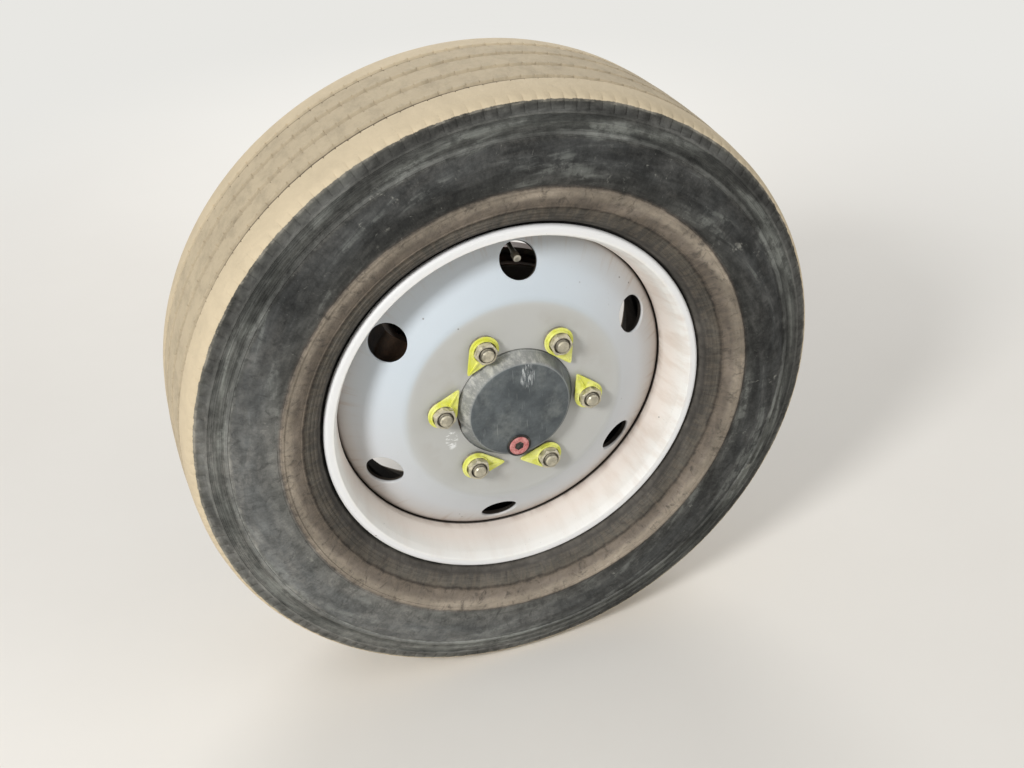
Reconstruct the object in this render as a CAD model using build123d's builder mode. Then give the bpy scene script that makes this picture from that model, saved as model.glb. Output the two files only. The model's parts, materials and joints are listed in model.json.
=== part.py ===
from build123d import *

import os
from math import acos, atan2, cos, radians, sin, tan

# Steered front wheel end of a street sweeper truck, right-hand side: a disc wheel with its tyre on a hub
# with a ventilated brake disc, the steering knuckle that carries them, and the forged end of the axle.
# Millimetres. +X points forward, +Y inboard and +Z up. The origin is the middle of the axle end's round
# spigot, which goes into the axle tube, and the wheel turns about the Y axis.
# Stations called w are measured outboard from the rim's middle plane.

# Kingpin and wheel place
SHOULDER_TO_KINGPIN = 150.0
KINGPIN_TO_WHEEL = 104.0
KINGPIN_LEAN = 8.0
KINGPIN_R = 17.5
RUNNING = 0.05
SEAT_GAP = 0.3

# Rim
RIM_WIDTH = 190.5
SEAT_R = 247.65
SEAT_SLOPE = 15.0
FLANGE_HEIGHT = 12.7
FLANGE_WIDTH = 11.75
FLANGE_BEVEL = 3.0
LEDGE_DROP = 10.35
LEDGE_END_W = 20.0
LEDGE_CLEAR = 8.5
WELL_DROP = 16.3
WELL_OUT_W = 6.0
WELL_IN_W = -30.0
RIM_SHEET = 5.3

# Wheel disc
MOUNT_W = 77.0
DISC_THICK = 14.0
DISC_EDGE_THICK = 8.0
DISC_CONE_THICK = 8.6
PLATEAU_R = 150.0
PLATEAU_ROUND = 30.0
CONE_SHARE = 0.561
CONE_ROUND = 120.0
CONE_DROP = 25.5
EDGE_DROP = 50.0
VENT_COUNT = 6
VENT_R = 25.5
VENT_PHASE = 24.0
VENT_TILT = 32.0
PILOT_INSET = 22.2

# Studs, nuts and their loose-nut pointers
STUD_COUNT = 6
STUD_CIRCLE_R = 102.5
STUD_PHASE = VENT_PHASE + 30.0
STUD_R = 9.0
STUD_CLEARANCE = 1.5
STUD_REACH = 24.0
STUD_HEAD_R = 14.0
STUD_HEAD_THICK = 8.0
NUT_FLATS = 27.0
NUT_HEIGHT = 19.0
NUT_COLLAR_R = 19.0
NUT_COLLAR_THICK = 5.0
NUT_COLLAR_TAPER = 20.0
POINTER_R = 20.0
POINTER_LENGTH = 42.0
POINTER_THICK = 6.0

# Tyre, 265/70 on the 19.5 rim
TYRE_R = 433.0
SHOULDER_W = 112.0
SHOULDER_DROP = 12.0
SHOULDER_WIDTH = 18.0
SHOULDER_FLARE = 6.0
SHOULDER_DEPTH = 16.0
CROWN_DROP = 4.0
SECTION_HALF = 132.0
BULGE = 3.0
LOWER_SHARE = 0.288
UPPER_SHARE = 0.554
LOWER_ROUND = 40.0
UPPER_ROUND = 60.0
WALL_THICK = 17.0
BEAD_SWELL = 8.0
BEAD_WIDTH = 29.0
CUSHION_WIDTH = 3.0
CUSHION_HEIGHT = 8.0
TREAD_DEPTH = 10.0
GROOVE_WIDTH = 9.0
GROOVE_STATIONS = (-63.0, -22.0, 22.0, 63.0)
CROWN_THICK = 22.0

# Hub and its bearings
HUB_FLANGE_MARGIN = 22.5
HUB_FLANGE_THICK = 22.0
HUB_BARREL_INSET = 36.5
HUB_ROOT_LENGTH = 20.0
HUB_ROOT_RISE = 8.0
HUB_INNER_END_W = -28.0
HUB_PILOT_PROUD = 11.0
INNER_BEARING = (-24.0, 6.0, 35.0, 55.0)
OUTER_BEARING = (40.0, 64.0, 25.0, 42.0)
BEARING_LIP = 6.0
NUT_ROOM_R = 56.0
CAP_SLOPE = 10.0
CAP_HEIGHT = 22.5
CAP_BAND = 5.0
CAP_WALL = 4.0
CAP_ROUND = 6.0
PLUG_R = 14.0
PLUG_STEM_R = 8.4
PLUG_SOCKET_R = 7.0
PLUG_ANGLE = -94.0
PLUG_PROUD = 2.2
PLUG_SEAT_R = 17.0
PLUG_SEAT_PROUD = 0.8
PLUG_SEAT_DEPTH = 7.5

# Brake
BRAKE_ANGLE = 165.0
ROTOR_R = 160.0
ROTOR_BORE_GAP = 7.0
ROTOR_W = (-30.0, 4.0)
ROTOR_PLATE = 10.0
VANE_COUNT = 36
VANE_THICK = 5.0
VANE_SWEEP = 24.0
VANE_BEND = 0.36
VANE_INSET = 4.0
HAT_ROOM = 10.0
HAT_WALL = 9.0
HAT_FLANGE_MARGIN = 21.5
HAT_FLANGE_THICK = 10.0
PAD_THICK = 20.0
PAD_HAT_GAP = 13.0
PAD_INSET = 4.0
PAD_HALF_ANGLE = 21.0
PAD_GAP = 0.5
LEG_LIFT = 6.0
LEG_STUD_GAP = 13.5
LEG_OUT_THICK = 19.0
LEG_IN_THICK = 44.0
CALLIPER_RISE = 30.0
CALLIPER_ROUND = 14.0
BRIDGE_GAP = 8.0
CALLIPER_HALF_ANGLE = 22.0
PISTON_R = 29.0
PISTON_LIFT = 8.0
PISTON_ANGLE = 10.5
PISTON_PROUD = 8.0
CARRIER_THICK = 16.0
CARRIER_HALF_ANGLE = 37.0
CARRIER_ARM_ANGLE = 26.0
CARRIER_ARM_GAP = 6.0
CARRIER_ARM_THICK = 16.0
CARRIER_FOOT_R = 73.0
LUG_HALF_ANGLE = 30.0
LUG_GAP = 2.0
GUIDE_PIN_R = 8.0
GUIDE_PIN_ANGLE = 31.0
GUIDE_INSET = 10.0
GUIDE_PIN_LENGTH = 40.0
EAR_R = 15.0
EAR_THICK = 14.0
EAR_OVERHANG = 2.0
SHIELD_THICK = 2.0
SHIELD_MARGIN = 13.0
SHIELD_BORE_GAP = 12.0
SHIELD_LIP = 18.0
SHIELD_CUT_ANGLE = 41.0

# Knuckle
PLATE_W = (-54.0, -38.0)
PLATE_R = 82.0
EYE_R = 38.0
EYE_HALF = 38.0
EYE_SWEEP = 7.0
BOSS_R = 34.0
ARM_THICK = 44.0
ARM_HALF_WIDTH = 44.0
ARM_REACH = 80.0
WEB_HALF_WIDTH = 40.0
SHIM = 0.4
THRUST_THICK = 16.0
SPINDLE_END_W = 84.0
SPINDLE_ROOT_R = 44.0
SPINDLE_FLARE = 4.0
SPINDLE_STEP = 3.0
SPINDLE_THREAD_R = 20.0
CAP_PLATE_THICK = 5.0
CAP_PLATE_INSET = 4.0
NIPPLE_R = 4.0
NIPPLE_LENGTH = 9.0
NIPPLE_TAPER = 8.0
SPINDLE_NUT_FLATS = 60.0
SPINDLE_NUT_THICK = 16.0
SENSOR_ANGLE = 20.0
SENSOR_R = 8.0
SENSOR_GAP = 2.0
SENSOR_COLLAR = 4.0
SENSOR_COLLAR_THICK = 6.0
SENSOR_TAIL = 28.0
SENSOR_TAPER = 6.0
TONE_RING_HEIGHT = 14.0
TONE_RING_THICK = 8.0
TONE_TEETH = 40
TONE_SLOT_WIDTH = 5.0
TONE_SLOT_DEPTH = 3.0

# Steering arm and stop screw
TIE_HOLE_X = -185.0
TIE_HOLE_Y = 70.0
TIE_HOLE_R = 11.0
TIE_BOSS_R = 23.0
TIE_BOSS_THICK = 32.0
STEER_ARM_THICK = 20.0
STEER_ARM_ROOT_R = 30.0
STEER_ARM_TIP_R = 17.0
STOP_R = 7.0
STOP_FLATS = 22.0
STOP_NUT_THICK = 10.0
STOP_WEB_GAP = 14.0
STOP_Z = -30.0
STOP_LENGTH = 50.0

# Axle end
NECK_HALF_WIDTH = 30.0
NECK_END_HALF_WIDTH = 48.0
NECK_STRAIGHT = 60.0
NECK_HALF_HEIGHT = 30.0
NECK_DRAFT = 5.0
SHOULDER_R = 60.0
SHOULDER_THICK = 26.0
SPIGOT_R = 40.0
SPIGOT_LENGTH = 90.0
SPIGOT_CHAMFER = 3.0
KEY_R = 6.5
KEY_OFFSET = 18.0
KEY_HALF = 41.0

# Valve
VALVE_R = 4.2
VALVE_BASE_R = 8.0
VALVE_BASE_THICK = 4.0
VALVE_CAP_R = 5.4
VALVE_CAP_LENGTH = 12.0
VALVE_FOOT_W = -8.0
VALVE_RISE = 8.4
VALVE_BEND = 7.0
VALVE_TIP_W = 60.0
VALVE_TIP_INSET = 38.0

SHOULDER_Y = -SPIGOT_LENGTH / 2
KINGPIN_Y = SHOULDER_Y - SHOULDER_TO_KINGPIN
WHEEL_Y = KINGPIN_Y - KINGPIN_TO_WHEEL
HALF_RIM = RIM_WIDTH / 2
OUTER_W = HALF_RIM + FLANGE_WIDTH
FLANGE_R = SEAT_R + FLANGE_HEIGHT
LEDGE_R = SEAT_R - LEDGE_DROP
LEDGE_IN_R = LEDGE_R - RIM_SHEET
WELL_R = LEDGE_R - WELL_DROP
PLATEAU_W = MOUNT_W + DISC_THICK
CONE_R = PLATEAU_R + CONE_SHARE * (LEDGE_IN_R - PLATEAU_R)
PILOT_R = STUD_CIRCLE_R - PILOT_INSET
CAP_SEAT_W = MOUNT_W + HUB_PILOT_PROUD
CAP_R = PILOT_R - SEAT_GAP
CAP_FACE_R = CAP_R - CAP_SLOPE
PLUG_CIRCLE_R = CAP_FACE_R - PLUG_R
HUB_FLANGE_R = STUD_CIRCLE_R + HUB_FLANGE_MARGIN
HUB_BARREL_R = STUD_CIRCLE_R - HUB_BARREL_INSET
HAT_FACE_W = MOUNT_W - HUB_FLANGE_THICK
HAT_IN_R = HUB_BARREL_R + HAT_ROOM
HAT_R = HAT_IN_R + HAT_WALL
HAT_FLANGE_R = STUD_CIRCLE_R + HAT_FLANGE_MARGIN
ROTOR_BORE_R = HAT_R + ROTOR_BORE_GAP
PAD_IN_R = HAT_R + PAD_HAT_GAP
PAD_OUT_R = ROTOR_R - PAD_INSET
LEG_IN_R = PAD_IN_R + LEG_LIFT
LEG_OUT_R = STUD_CIRCLE_R + STUD_HEAD_R + LEG_STUD_GAP
LEG_TOP_R = ROTOR_R + CALLIPER_RISE
BRIDGE_R = ROTOR_R + BRIDGE_GAP
ARM_LOW_R = ROTOR_R + CARRIER_ARM_GAP
ARM_HIGH_R = ARM_LOW_R + CARRIER_ARM_THICK
GUIDE_CIRCLE_R = ROTOR_R - GUIDE_INSET
SHIELD_R = ROTOR_R + SHIELD_MARGIN
SHIELD_BORE_R = SPINDLE_ROOT_R + SHIELD_BORE_GAP
TONE_RING_R = HUB_BARREL_R + TONE_RING_HEIGHT
SENSOR_CIRCLE_R = HUB_BARREL_R + TONE_RING_HEIGHT / 2
STOP_X = WEB_HALF_WIDTH + STOP_WEB_GAP
AXLE_LINE = Axis((0, WHEEL_Y, 0), (0, -1, 0))
FACE = Plane(origin=(0, WHEEL_Y, 0), x_dir=(1, 0, 0), z_dir=(0, -1, 0))
LEAN = radians(KINGPIN_LEAN)
KINGPIN = Plane(origin=(0, KINGPIN_Y, 0), x_dir=(1, 0, 0), z_dir=(0, sin(LEAN), cos(LEAN)))


def section_at(angle):
    """Plane through the axle line: x runs outboard, y runs out along the radius at this angle."""
    turn = radians(angle)
    return Plane(origin=(0, WHEEL_Y, 0), x_dir=(0, -1, 0), z_dir=(-sin(turn), 0, cos(turn)))


def cone_plane(angle, station, radius, tilt):
    """Plane on a cone about the axle line, its normal leaning outward by the tilt."""
    turn = radians(angle)
    lean = radians(tilt)
    return Plane(
        origin=(radius * cos(turn), WHEEL_Y - station, radius * sin(turn)),
        x_dir=(-sin(turn), 0, cos(turn)),
        z_dir=(sin(lean) * cos(turn), -cos(lean), sin(lean) * sin(turn)),
    )


def polar(radius, angle):
    """Place on a face plane from a radius and an angle."""
    return (radius * cos(radians(angle)), radius * sin(radians(angle)))


def outline(rows):
    """Draws the closed line of (station, radius, rounding) rows, each rounding kept within its two sides."""
    points = [Vector(w, r) for w, r, _ in rows]
    roundings = []
    for i, (_, _, rounding) in enumerate(rows):
        before = points[i - 1] - points[i]
        after = points[(i + 1) % len(rows)] - points[i]
        half_turn = radians(before.get_angle(after) / 2)
        roundings.append(min(rounding, 0.45 * min(before.length, after.length) * tan(half_turn)))
    FilletPolyline(*points, radius=roundings, close=True)


UPRIGHT = section_at(90)
STUD_ANGLES = [STUD_PHASE + i * 360 / STUD_COUNT for i in range(STUD_COUNT)]
GUIDE_PLACES = [polar(GUIDE_CIRCLE_R, BRAKE_ANGLE + sign * GUIDE_PIN_ANGLE) for sign in (-1, 1)]

# Rim: drop-centre section with sloping bead seats. Rows are station, radius, corner rounding.
seat_end_w = HALF_RIM - LEDGE_DROP / tan(radians(SEAT_SLOPE))
out_slope = atan2(WELL_DROP, LEDGE_END_W - WELL_OUT_W)
in_slope = atan2(WELL_DROP, WELL_IN_W + seat_end_w)
out_shift = RIM_SHEET * tan(out_slope / 2)
in_shift = RIM_SHEET * tan(in_slope / 2)
rim_rows = [
    (OUTER_W, FLANGE_R - FLANGE_BEVEL, 0),
    (OUTER_W - FLANGE_BEVEL, FLANGE_R, 0),
    (HALF_RIM + FLANGE_BEVEL, FLANGE_R, 0),
    (HALF_RIM, FLANGE_R - FLANGE_BEVEL, 0),
    (HALF_RIM, SEAT_R, 0),
    (seat_end_w, LEDGE_R, 0),
    (LEDGE_END_W, LEDGE_R, 0),
    (WELL_OUT_W, WELL_R, 0),
    (WELL_IN_W, WELL_R, 0),
    (-seat_end_w, LEDGE_R, 0),
    (-HALF_RIM, SEAT_R, 0),
    (-HALF_RIM, FLANGE_R - FLANGE_BEVEL, 0),
    (-HALF_RIM - FLANGE_BEVEL, FLANGE_R, 0),
    (-OUTER_W + FLANGE_BEVEL, FLANGE_R, 0),
    (-OUTER_W, FLANGE_R - FLANGE_BEVEL, 0),
    (-OUTER_W, SEAT_R, 0),
    (-HALF_RIM, SEAT_R - RIM_SHEET, 0),
    (-seat_end_w - in_shift, LEDGE_IN_R, 0),
    (WELL_IN_W - in_shift, WELL_R - RIM_SHEET, 0),
    (WELL_OUT_W + out_shift, WELL_R - RIM_SHEET, 0),
    (LEDGE_END_W + out_shift, LEDGE_IN_R, 0),
    (seat_end_w, LEDGE_IN_R, 0),
    (HALF_RIM, SEAT_R - RIM_SHEET, 0),
    (OUTER_W, SEAT_R, 0),
]
with BuildPart() as rim:
    with BuildSketch(UPRIGHT):
        with BuildLine():
            outline(rim_rows)
        make_face()
    revolve(axis=AXLE_LINE)

# Wheel disc: thick flat plateau, a cone with six round vents, and a rolled edge inside the rim.
cone_w = PLATEAU_W - CONE_DROP
edge_w = PLATEAU_W - EDGE_DROP
edge_in_r = LEDGE_IN_R - DISC_EDGE_THICK
disc_end_w = LEDGE_END_W + LEDGE_CLEAR
tilt = radians(VENT_TILT)
disc_rows = [
    (PLATEAU_W, PILOT_R + SEAT_GAP, 0),
    (PLATEAU_W, PLATEAU_R, PLATEAU_ROUND),
    (cone_w, CONE_R, CONE_ROUND),
    (edge_w, LEDGE_IN_R, 0),
    (disc_end_w, LEDGE_IN_R, 0),
    (disc_end_w, edge_in_r, 0),
    ((edge_w + disc_end_w) / 2, edge_in_r, 0),
    (cone_w - DISC_CONE_THICK * cos(tilt), CONE_R - DISC_CONE_THICK * sin(tilt), CONE_ROUND),
    (MOUNT_W, PLATEAU_R - DISC_THICK * tan(tilt / 2), PLATEAU_ROUND),
    (MOUNT_W, PILOT_R + SEAT_GAP, 0),
]
with BuildPart() as wheel_disc:
    with BuildSketch(UPRIGHT):
        with BuildLine():
            outline(disc_rows)
        make_face()
    revolve(axis=AXLE_LINE)
    for i in range(VENT_COUNT):
        hole_plane = cone_plane(VENT_PHASE + i * 360 / VENT_COUNT, cone_w, CONE_R, VENT_TILT)
        with Locations(hole_plane.offset(DISC_THICK)):
            Hole(VENT_R, depth=3 * DISC_THICK)
    with Locations(FACE.offset(PLATEAU_W)):
        with PolarLocations(STUD_CIRCLE_R, STUD_COUNT, STUD_PHASE):
            Hole(STUD_R + STUD_CLEARANCE, depth=2 * DISC_THICK)

# Tyre: hollow casing with a bead on each seat, full sidewalls and four straight tread grooves.
tread_edge_r = TYRE_R - SHOULDER_DROP
wall_height = TYRE_R - FLANGE_R
lower_r = FLANGE_R + LOWER_SHARE * wall_height
upper_r = FLANGE_R + UPPER_SHARE * wall_height
bead_w = HALF_RIM - SEAT_GAP
bead_r = SEAT_R + SEAT_GAP
toe_w = bead_w - BEAD_WIDTH
toe_r = bead_r - BEAD_WIDTH * tan(radians(SEAT_SLOPE))
# Half section, outer face from the bead to the shoulder. Columns are station, radius, rounding.
casing_out = [
    (toe_w, toe_r, 0),
    (bead_w, bead_r, 0),
    (bead_w, FLANGE_R - FLANGE_BEVEL, 0),
    (bead_w + FLANGE_BEVEL, FLANGE_R + SEAT_GAP, 0),
    (OUTER_W + CUSHION_WIDTH, FLANGE_R + CUSHION_HEIGHT, 0),
    (SECTION_HALF - BULGE, lower_r, LOWER_ROUND),
    (SECTION_HALF, upper_r, UPPER_ROUND),
    (SHOULDER_W + SHOULDER_FLARE, tread_edge_r - SHOULDER_DEPTH, 0),
    (SHOULDER_W, tread_edge_r, 0),
    (SHOULDER_W - SHOULDER_WIDTH, TYRE_R - CROWN_DROP, 0),
]
casing_in = [
    (SHOULDER_W - WALL_THICK, TYRE_R - CROWN_DROP - CROWN_THICK, 0),
    (SECTION_HALF - WALL_THICK, upper_r, 0),
    (SECTION_HALF - WALL_THICK - BEAD_SWELL, lower_r, 0),
    (toe_w + SHOULDER_FLARE, FLANGE_R + CUSHION_HEIGHT, 0),
]
other = [(-w, r, c) for w, r, c in reversed(casing_out)]
back = [(-w, r, c) for w, r, c in reversed(casing_in)]
with BuildPart() as tyre:
    with BuildSketch(UPRIGHT):
        with BuildLine():
            outline(casing_out + [(0, TYRE_R, 0)] + other + back + casing_in)
        make_face()
        with Locations(*[(w, TYRE_R) for w in GROOVE_STATIONS]):
            Rectangle(GROOVE_WIDTH, 2 * TREAD_DEPTH, mode=Mode.SUBTRACT)
    revolve(axis=AXLE_LINE)

# Hub: flange for the wheel and brake disc, piloting ring, and a barrel bored for two bearings.
in_w0, in_w1, in_bore, in_outer = INNER_BEARING
out_w0, out_w1, out_bore, out_outer = OUTER_BEARING
hub_rows = [
    (CAP_SEAT_W, PILOT_R, 0),
    (MOUNT_W, PILOT_R, 0),
    (MOUNT_W, HUB_FLANGE_R, 0),
    (HAT_FACE_W, HUB_FLANGE_R, 0),
    (HAT_FACE_W, HUB_BARREL_R + HUB_ROOT_RISE, 0),
    (HAT_FACE_W - HUB_ROOT_LENGTH, HUB_BARREL_R, 0),
    (HUB_INNER_END_W, HUB_BARREL_R, 0),
    (HUB_INNER_END_W, in_outer + RUNNING, 0),
    (in_w1, in_outer + RUNNING, 0),
    (in_w1, in_outer - BEARING_LIP, 0),
    (out_w0, out_outer - BEARING_LIP, 0),
    (out_w0, out_outer + RUNNING, 0),
    (out_w1, out_outer + RUNNING, 0),
    (out_w1, NUT_ROOM_R, 0),
    (CAP_SEAT_W, NUT_ROOM_R, 0),
]
with BuildPart() as hub:
    with BuildSketch(UPRIGHT):
        with BuildLine():
            outline(hub_rows)
        make_face()
    revolve(axis=AXLE_LINE)
    with Locations(FACE.offset(MOUNT_W)):
        with PolarLocations(STUD_CIRCLE_R, STUD_COUNT, STUD_PHASE):
            Hole(STUD_R, depth=2 * HUB_FLANGE_THICK)

# Brake disc: two friction plates joined by swept vanes, and a hat bolted behind the hub flange.
rotor_in, rotor_out = ROTOR_W
vane_w0 = rotor_in + ROTOR_PLATE
vane_w1 = rotor_out - ROTOR_PLATE
hat_back_w = HAT_FACE_W - HAT_FLANGE_THICK
hat_rows = [
    (vane_w1, ROTOR_R, 0),
    (rotor_out, ROTOR_R, 0),
    (rotor_out, HAT_R, 0),
    (hat_back_w, HAT_R, 0),
    (hat_back_w, HAT_FLANGE_R, 0),
    (HAT_FACE_W, HAT_FLANGE_R, 0),
    (HAT_FACE_W, HAT_IN_R, 0),
    (vane_w1, HAT_IN_R, 0),
]
vane_in_r = ROTOR_BORE_R + VANE_INSET
vane_out_r = ROTOR_R - VANE_INSET
vane_middle_r = (vane_in_r + vane_out_r) / 2
with BuildPart() as brake_disc:
    with BuildSketch(UPRIGHT):
        with BuildLine():
            outline(hat_rows)
        make_face()
    revolve(axis=AXLE_LINE)
    with BuildSketch(FACE.offset(rotor_in)):
        Circle(ROTOR_R)
        Circle(ROTOR_BORE_R, mode=Mode.SUBTRACT)
    extrude(amount=ROTOR_PLATE)
    with BuildSketch(FACE.offset(vane_w0)):
        for i in range(VANE_COUNT):
            root = i * 360 / VANE_COUNT
            with BuildLine():
                Polyline(
                    polar(vane_in_r, root),
                    polar(vane_middle_r, root + VANE_SWEEP * VANE_BEND),
                    polar(vane_out_r, root + VANE_SWEEP),
                )
            trace(line_width=VANE_THICK)
    extrude(amount=vane_w1 - vane_w0)
    with Locations(FACE.offset(HAT_FACE_W)):
        with PolarLocations(STUD_CIRCLE_R, STUD_COUNT, STUD_PHASE):
            Hole(STUD_R, depth=2 * HAT_FLANGE_THICK)

# Wheel studs, their heads pulled against the hat flange
with BuildPart() as wheel_studs:
    with BuildSketch(FACE.offset(hat_back_w - STUD_HEAD_THICK)):
        with PolarLocations(STUD_CIRCLE_R, STUD_COUNT, STUD_PHASE):
            Circle(STUD_HEAD_R)
    extrude(amount=STUD_HEAD_THICK)
    with BuildSketch(FACE.offset(hat_back_w)):
        with PolarLocations(STUD_CIRCLE_R, STUD_COUNT, STUD_PHASE):
            Circle(STUD_R)
    extrude(amount=PLATEAU_W + STUD_REACH - hat_back_w)
    tips = wheel_studs.edges().filter_by(GeomType.CIRCLE).group_by(Axis.Y)[0]
    chamfer(tips, length=1.5)

# Wheel nuts: hexagon on a round collar
with BuildPart() as wheel_nuts:
    with BuildSketch(FACE.offset(PLATEAU_W)):
        with PolarLocations(STUD_CIRCLE_R, STUD_COUNT, STUD_PHASE):
            Circle(NUT_COLLAR_R)
            Circle(STUD_R, mode=Mode.SUBTRACT)
    extrude(amount=NUT_COLLAR_THICK, taper=NUT_COLLAR_TAPER)
    with BuildSketch(FACE.offset(PLATEAU_W + NUT_COLLAR_THICK)):
        with PolarLocations(STUD_CIRCLE_R, STUD_COUNT, STUD_PHASE):
            RegularPolygon(NUT_FLATS / 2, 6, major_radius=False)
            Circle(STUD_R, mode=Mode.SUBTRACT)
    extrude(amount=NUT_HEIGHT - NUT_COLLAR_THICK)

# Loose-nut pointers: a ring pushed over each hexagon, drawn out to a tip that faces its partner's tip
tangent_turn = acos(POINTER_R / POINTER_LENGTH)
with BuildPart() as nut_pointers:
    with BuildSketch(FACE.offset(PLATEAU_W + NUT_COLLAR_THICK)):
        for i, stud_angle in enumerate(STUD_ANGLES):
            centre = Vector(*polar(STUD_CIRCLE_R, stud_angle))
            with Locations(centre):
                Circle(POINTER_R)
            pair_sign = 1 if i % 2 else -1
            tip_angle = stud_angle + pair_sign * (90 + 180 / STUD_COUNT)
            forward = Vector(*polar(1, tip_angle))
            side = Vector(*polar(1, tip_angle + 90))
            reach = forward * (POINTER_R * cos(tangent_turn))
            spread = side * (POINTER_R * sin(tangent_turn))
            with BuildLine():
                Polyline(
                    centre,
                    centre + reach + spread,
                    centre + forward * POINTER_LENGTH,
                    centre + reach - spread,
                    close=True,
                )
            make_face()
        with PolarLocations(STUD_CIRCLE_R, STUD_COUNT, STUD_PHASE):
            RegularPolygon(NUT_FLATS / 2, 6, major_radius=False, mode=Mode.SUBTRACT)
    extrude(amount=POINTER_THICK)

# Hub cap: a shallow cup over the spindle end, with a round filler plug in its face
cap_top_w = CAP_SEAT_W + CAP_HEIGHT
cap_rows = [
    (CAP_SEAT_W, CAP_R, 0),
    (CAP_SEAT_W + CAP_BAND, CAP_R, 0),
    (cap_top_w, CAP_FACE_R, CAP_ROUND),
    (cap_top_w, 0, 0),
    (cap_top_w - CAP_WALL, 0, 0),
    (cap_top_w - CAP_WALL, CAP_FACE_R - CAP_WALL, 0),
    (CAP_SEAT_W + CAP_BAND, CAP_R - CAP_WALL, 0),
    (CAP_SEAT_W, CAP_R - CAP_WALL, 0),
]
plug_place = polar(PLUG_CIRCLE_R, PLUG_ANGLE)
plug_seat_w = cap_top_w + PLUG_SEAT_PROUD
with BuildPart() as hub_cap:
    with BuildSketch(UPRIGHT):
        with BuildLine():
            outline(cap_rows)
        make_face()
    revolve(axis=AXLE_LINE)
    with BuildSketch(FACE.offset(plug_seat_w)):
        with Locations(plug_place):
            Circle(PLUG_SEAT_R)
    extrude(amount=-PLUG_SEAT_DEPTH)
    with BuildSketch(FACE.offset(plug_seat_w)):
        with Locations(plug_place):
            Circle(PLUG_STEM_R)
    extrude(amount=-PLUG_SEAT_DEPTH, mode=Mode.SUBTRACT)

with BuildPart() as hub_cap_plug:
    with BuildSketch(FACE.offset(plug_seat_w)):
        with Locations(plug_place):
            Circle(PLUG_STEM_R)
    extrude(amount=-PLUG_SEAT_DEPTH)
    with BuildSketch(FACE.offset(plug_seat_w)):
        with Locations(plug_place):
            Circle(PLUG_R)
    extrude(amount=PLUG_PROUD)
    with BuildSketch(FACE.offset(plug_seat_w + PLUG_PROUD)):
        with Locations(plug_place):
            RegularPolygon(PLUG_SOCKET_R, 6)
    extrude(amount=-PLUG_PROUD, mode=Mode.SUBTRACT)

# Toothed ring on the hub's inner end, read by the speed sensor
with BuildPart() as tone_ring:
    with BuildSketch(FACE.offset(HUB_INNER_END_W)):
        Circle(TONE_RING_R)
        Circle(HUB_BARREL_R, mode=Mode.SUBTRACT)
    extrude(amount=TONE_RING_THICK)
    with BuildSketch(FACE.offset(HUB_INNER_END_W)):
        with PolarLocations(TONE_RING_R, TONE_TEETH):
            Rectangle(TONE_RING_HEIGHT, TONE_SLOT_WIDTH)
    extrude(amount=TONE_SLOT_DEPTH, mode=Mode.SUBTRACT)

# Valve: straight out of the well side, bent towards the top vent so that its cap can be reached there
valve_plane = section_at(VENT_PHASE + 60)
valve_foot_r = WELL_R - RIM_SHEET - SEAT_GAP
with BuildPart() as valve:
    with BuildLine(valve_plane):
        valve_path = FilletPolyline(
            (VALVE_FOOT_W, valve_foot_r),
            (VALVE_FOOT_W, valve_foot_r - VALVE_RISE),
            (VALVE_TIP_W, LEDGE_IN_R - VALVE_TIP_INSET),
            radius=VALVE_BEND,
        )
    with BuildSketch(Plane(origin=valve_path @ 0, z_dir=valve_path % 0)):
        Circle(VALVE_R)
    sweep(path=valve_path)
    with BuildSketch(Plane(origin=valve_path @ 0, z_dir=valve_path % 0)):
        Circle(VALVE_BASE_R)
    extrude(amount=VALVE_BASE_THICK)
    with BuildSketch(Plane(origin=valve_path @ 1, z_dir=valve_path % 1)):
        Circle(VALVE_CAP_R)
    extrude(amount=-VALVE_CAP_LENGTH)

# Spindle, flange plate and fork of the knuckle in one forging
plate_in, plate_out = PLATE_W
window_r = PAD_IN_R - LUG_GAP
lug_r = window_r - LUG_GAP
spindle_rows = [
    (plate_in, 0, 0),
    (plate_in, SPINDLE_ROOT_R + SPINDLE_FLARE, 0),
    (plate_out, SPINDLE_ROOT_R + SPINDLE_FLARE, 0),
    (in_w0, SPINDLE_ROOT_R, 0),
    (in_w0, in_bore, 0),
    (in_w1, in_bore, 0),
    (in_w1, in_bore - SPINDLE_STEP, 0),
    (out_w0, out_bore + SPINDLE_STEP, 0),
    (out_w0, out_bore, 0),
    (out_w1, out_bore, 0),
    (out_w1, SPINDLE_THREAD_R, 0),
    (SPINDLE_END_W, SPINDLE_THREAD_R, 0),
    (SPINDLE_END_W, 0, 0),
]
sensor_place = polar(SENSOR_CIRCLE_R, SENSOR_ANGLE)
arm_low_z = -EYE_HALF - THRUST_THICK - SEAT_GAP - ARM_THICK
arm_high_z = EYE_HALF + SHIM
fork_top_z = arm_high_z + ARM_THICK
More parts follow.
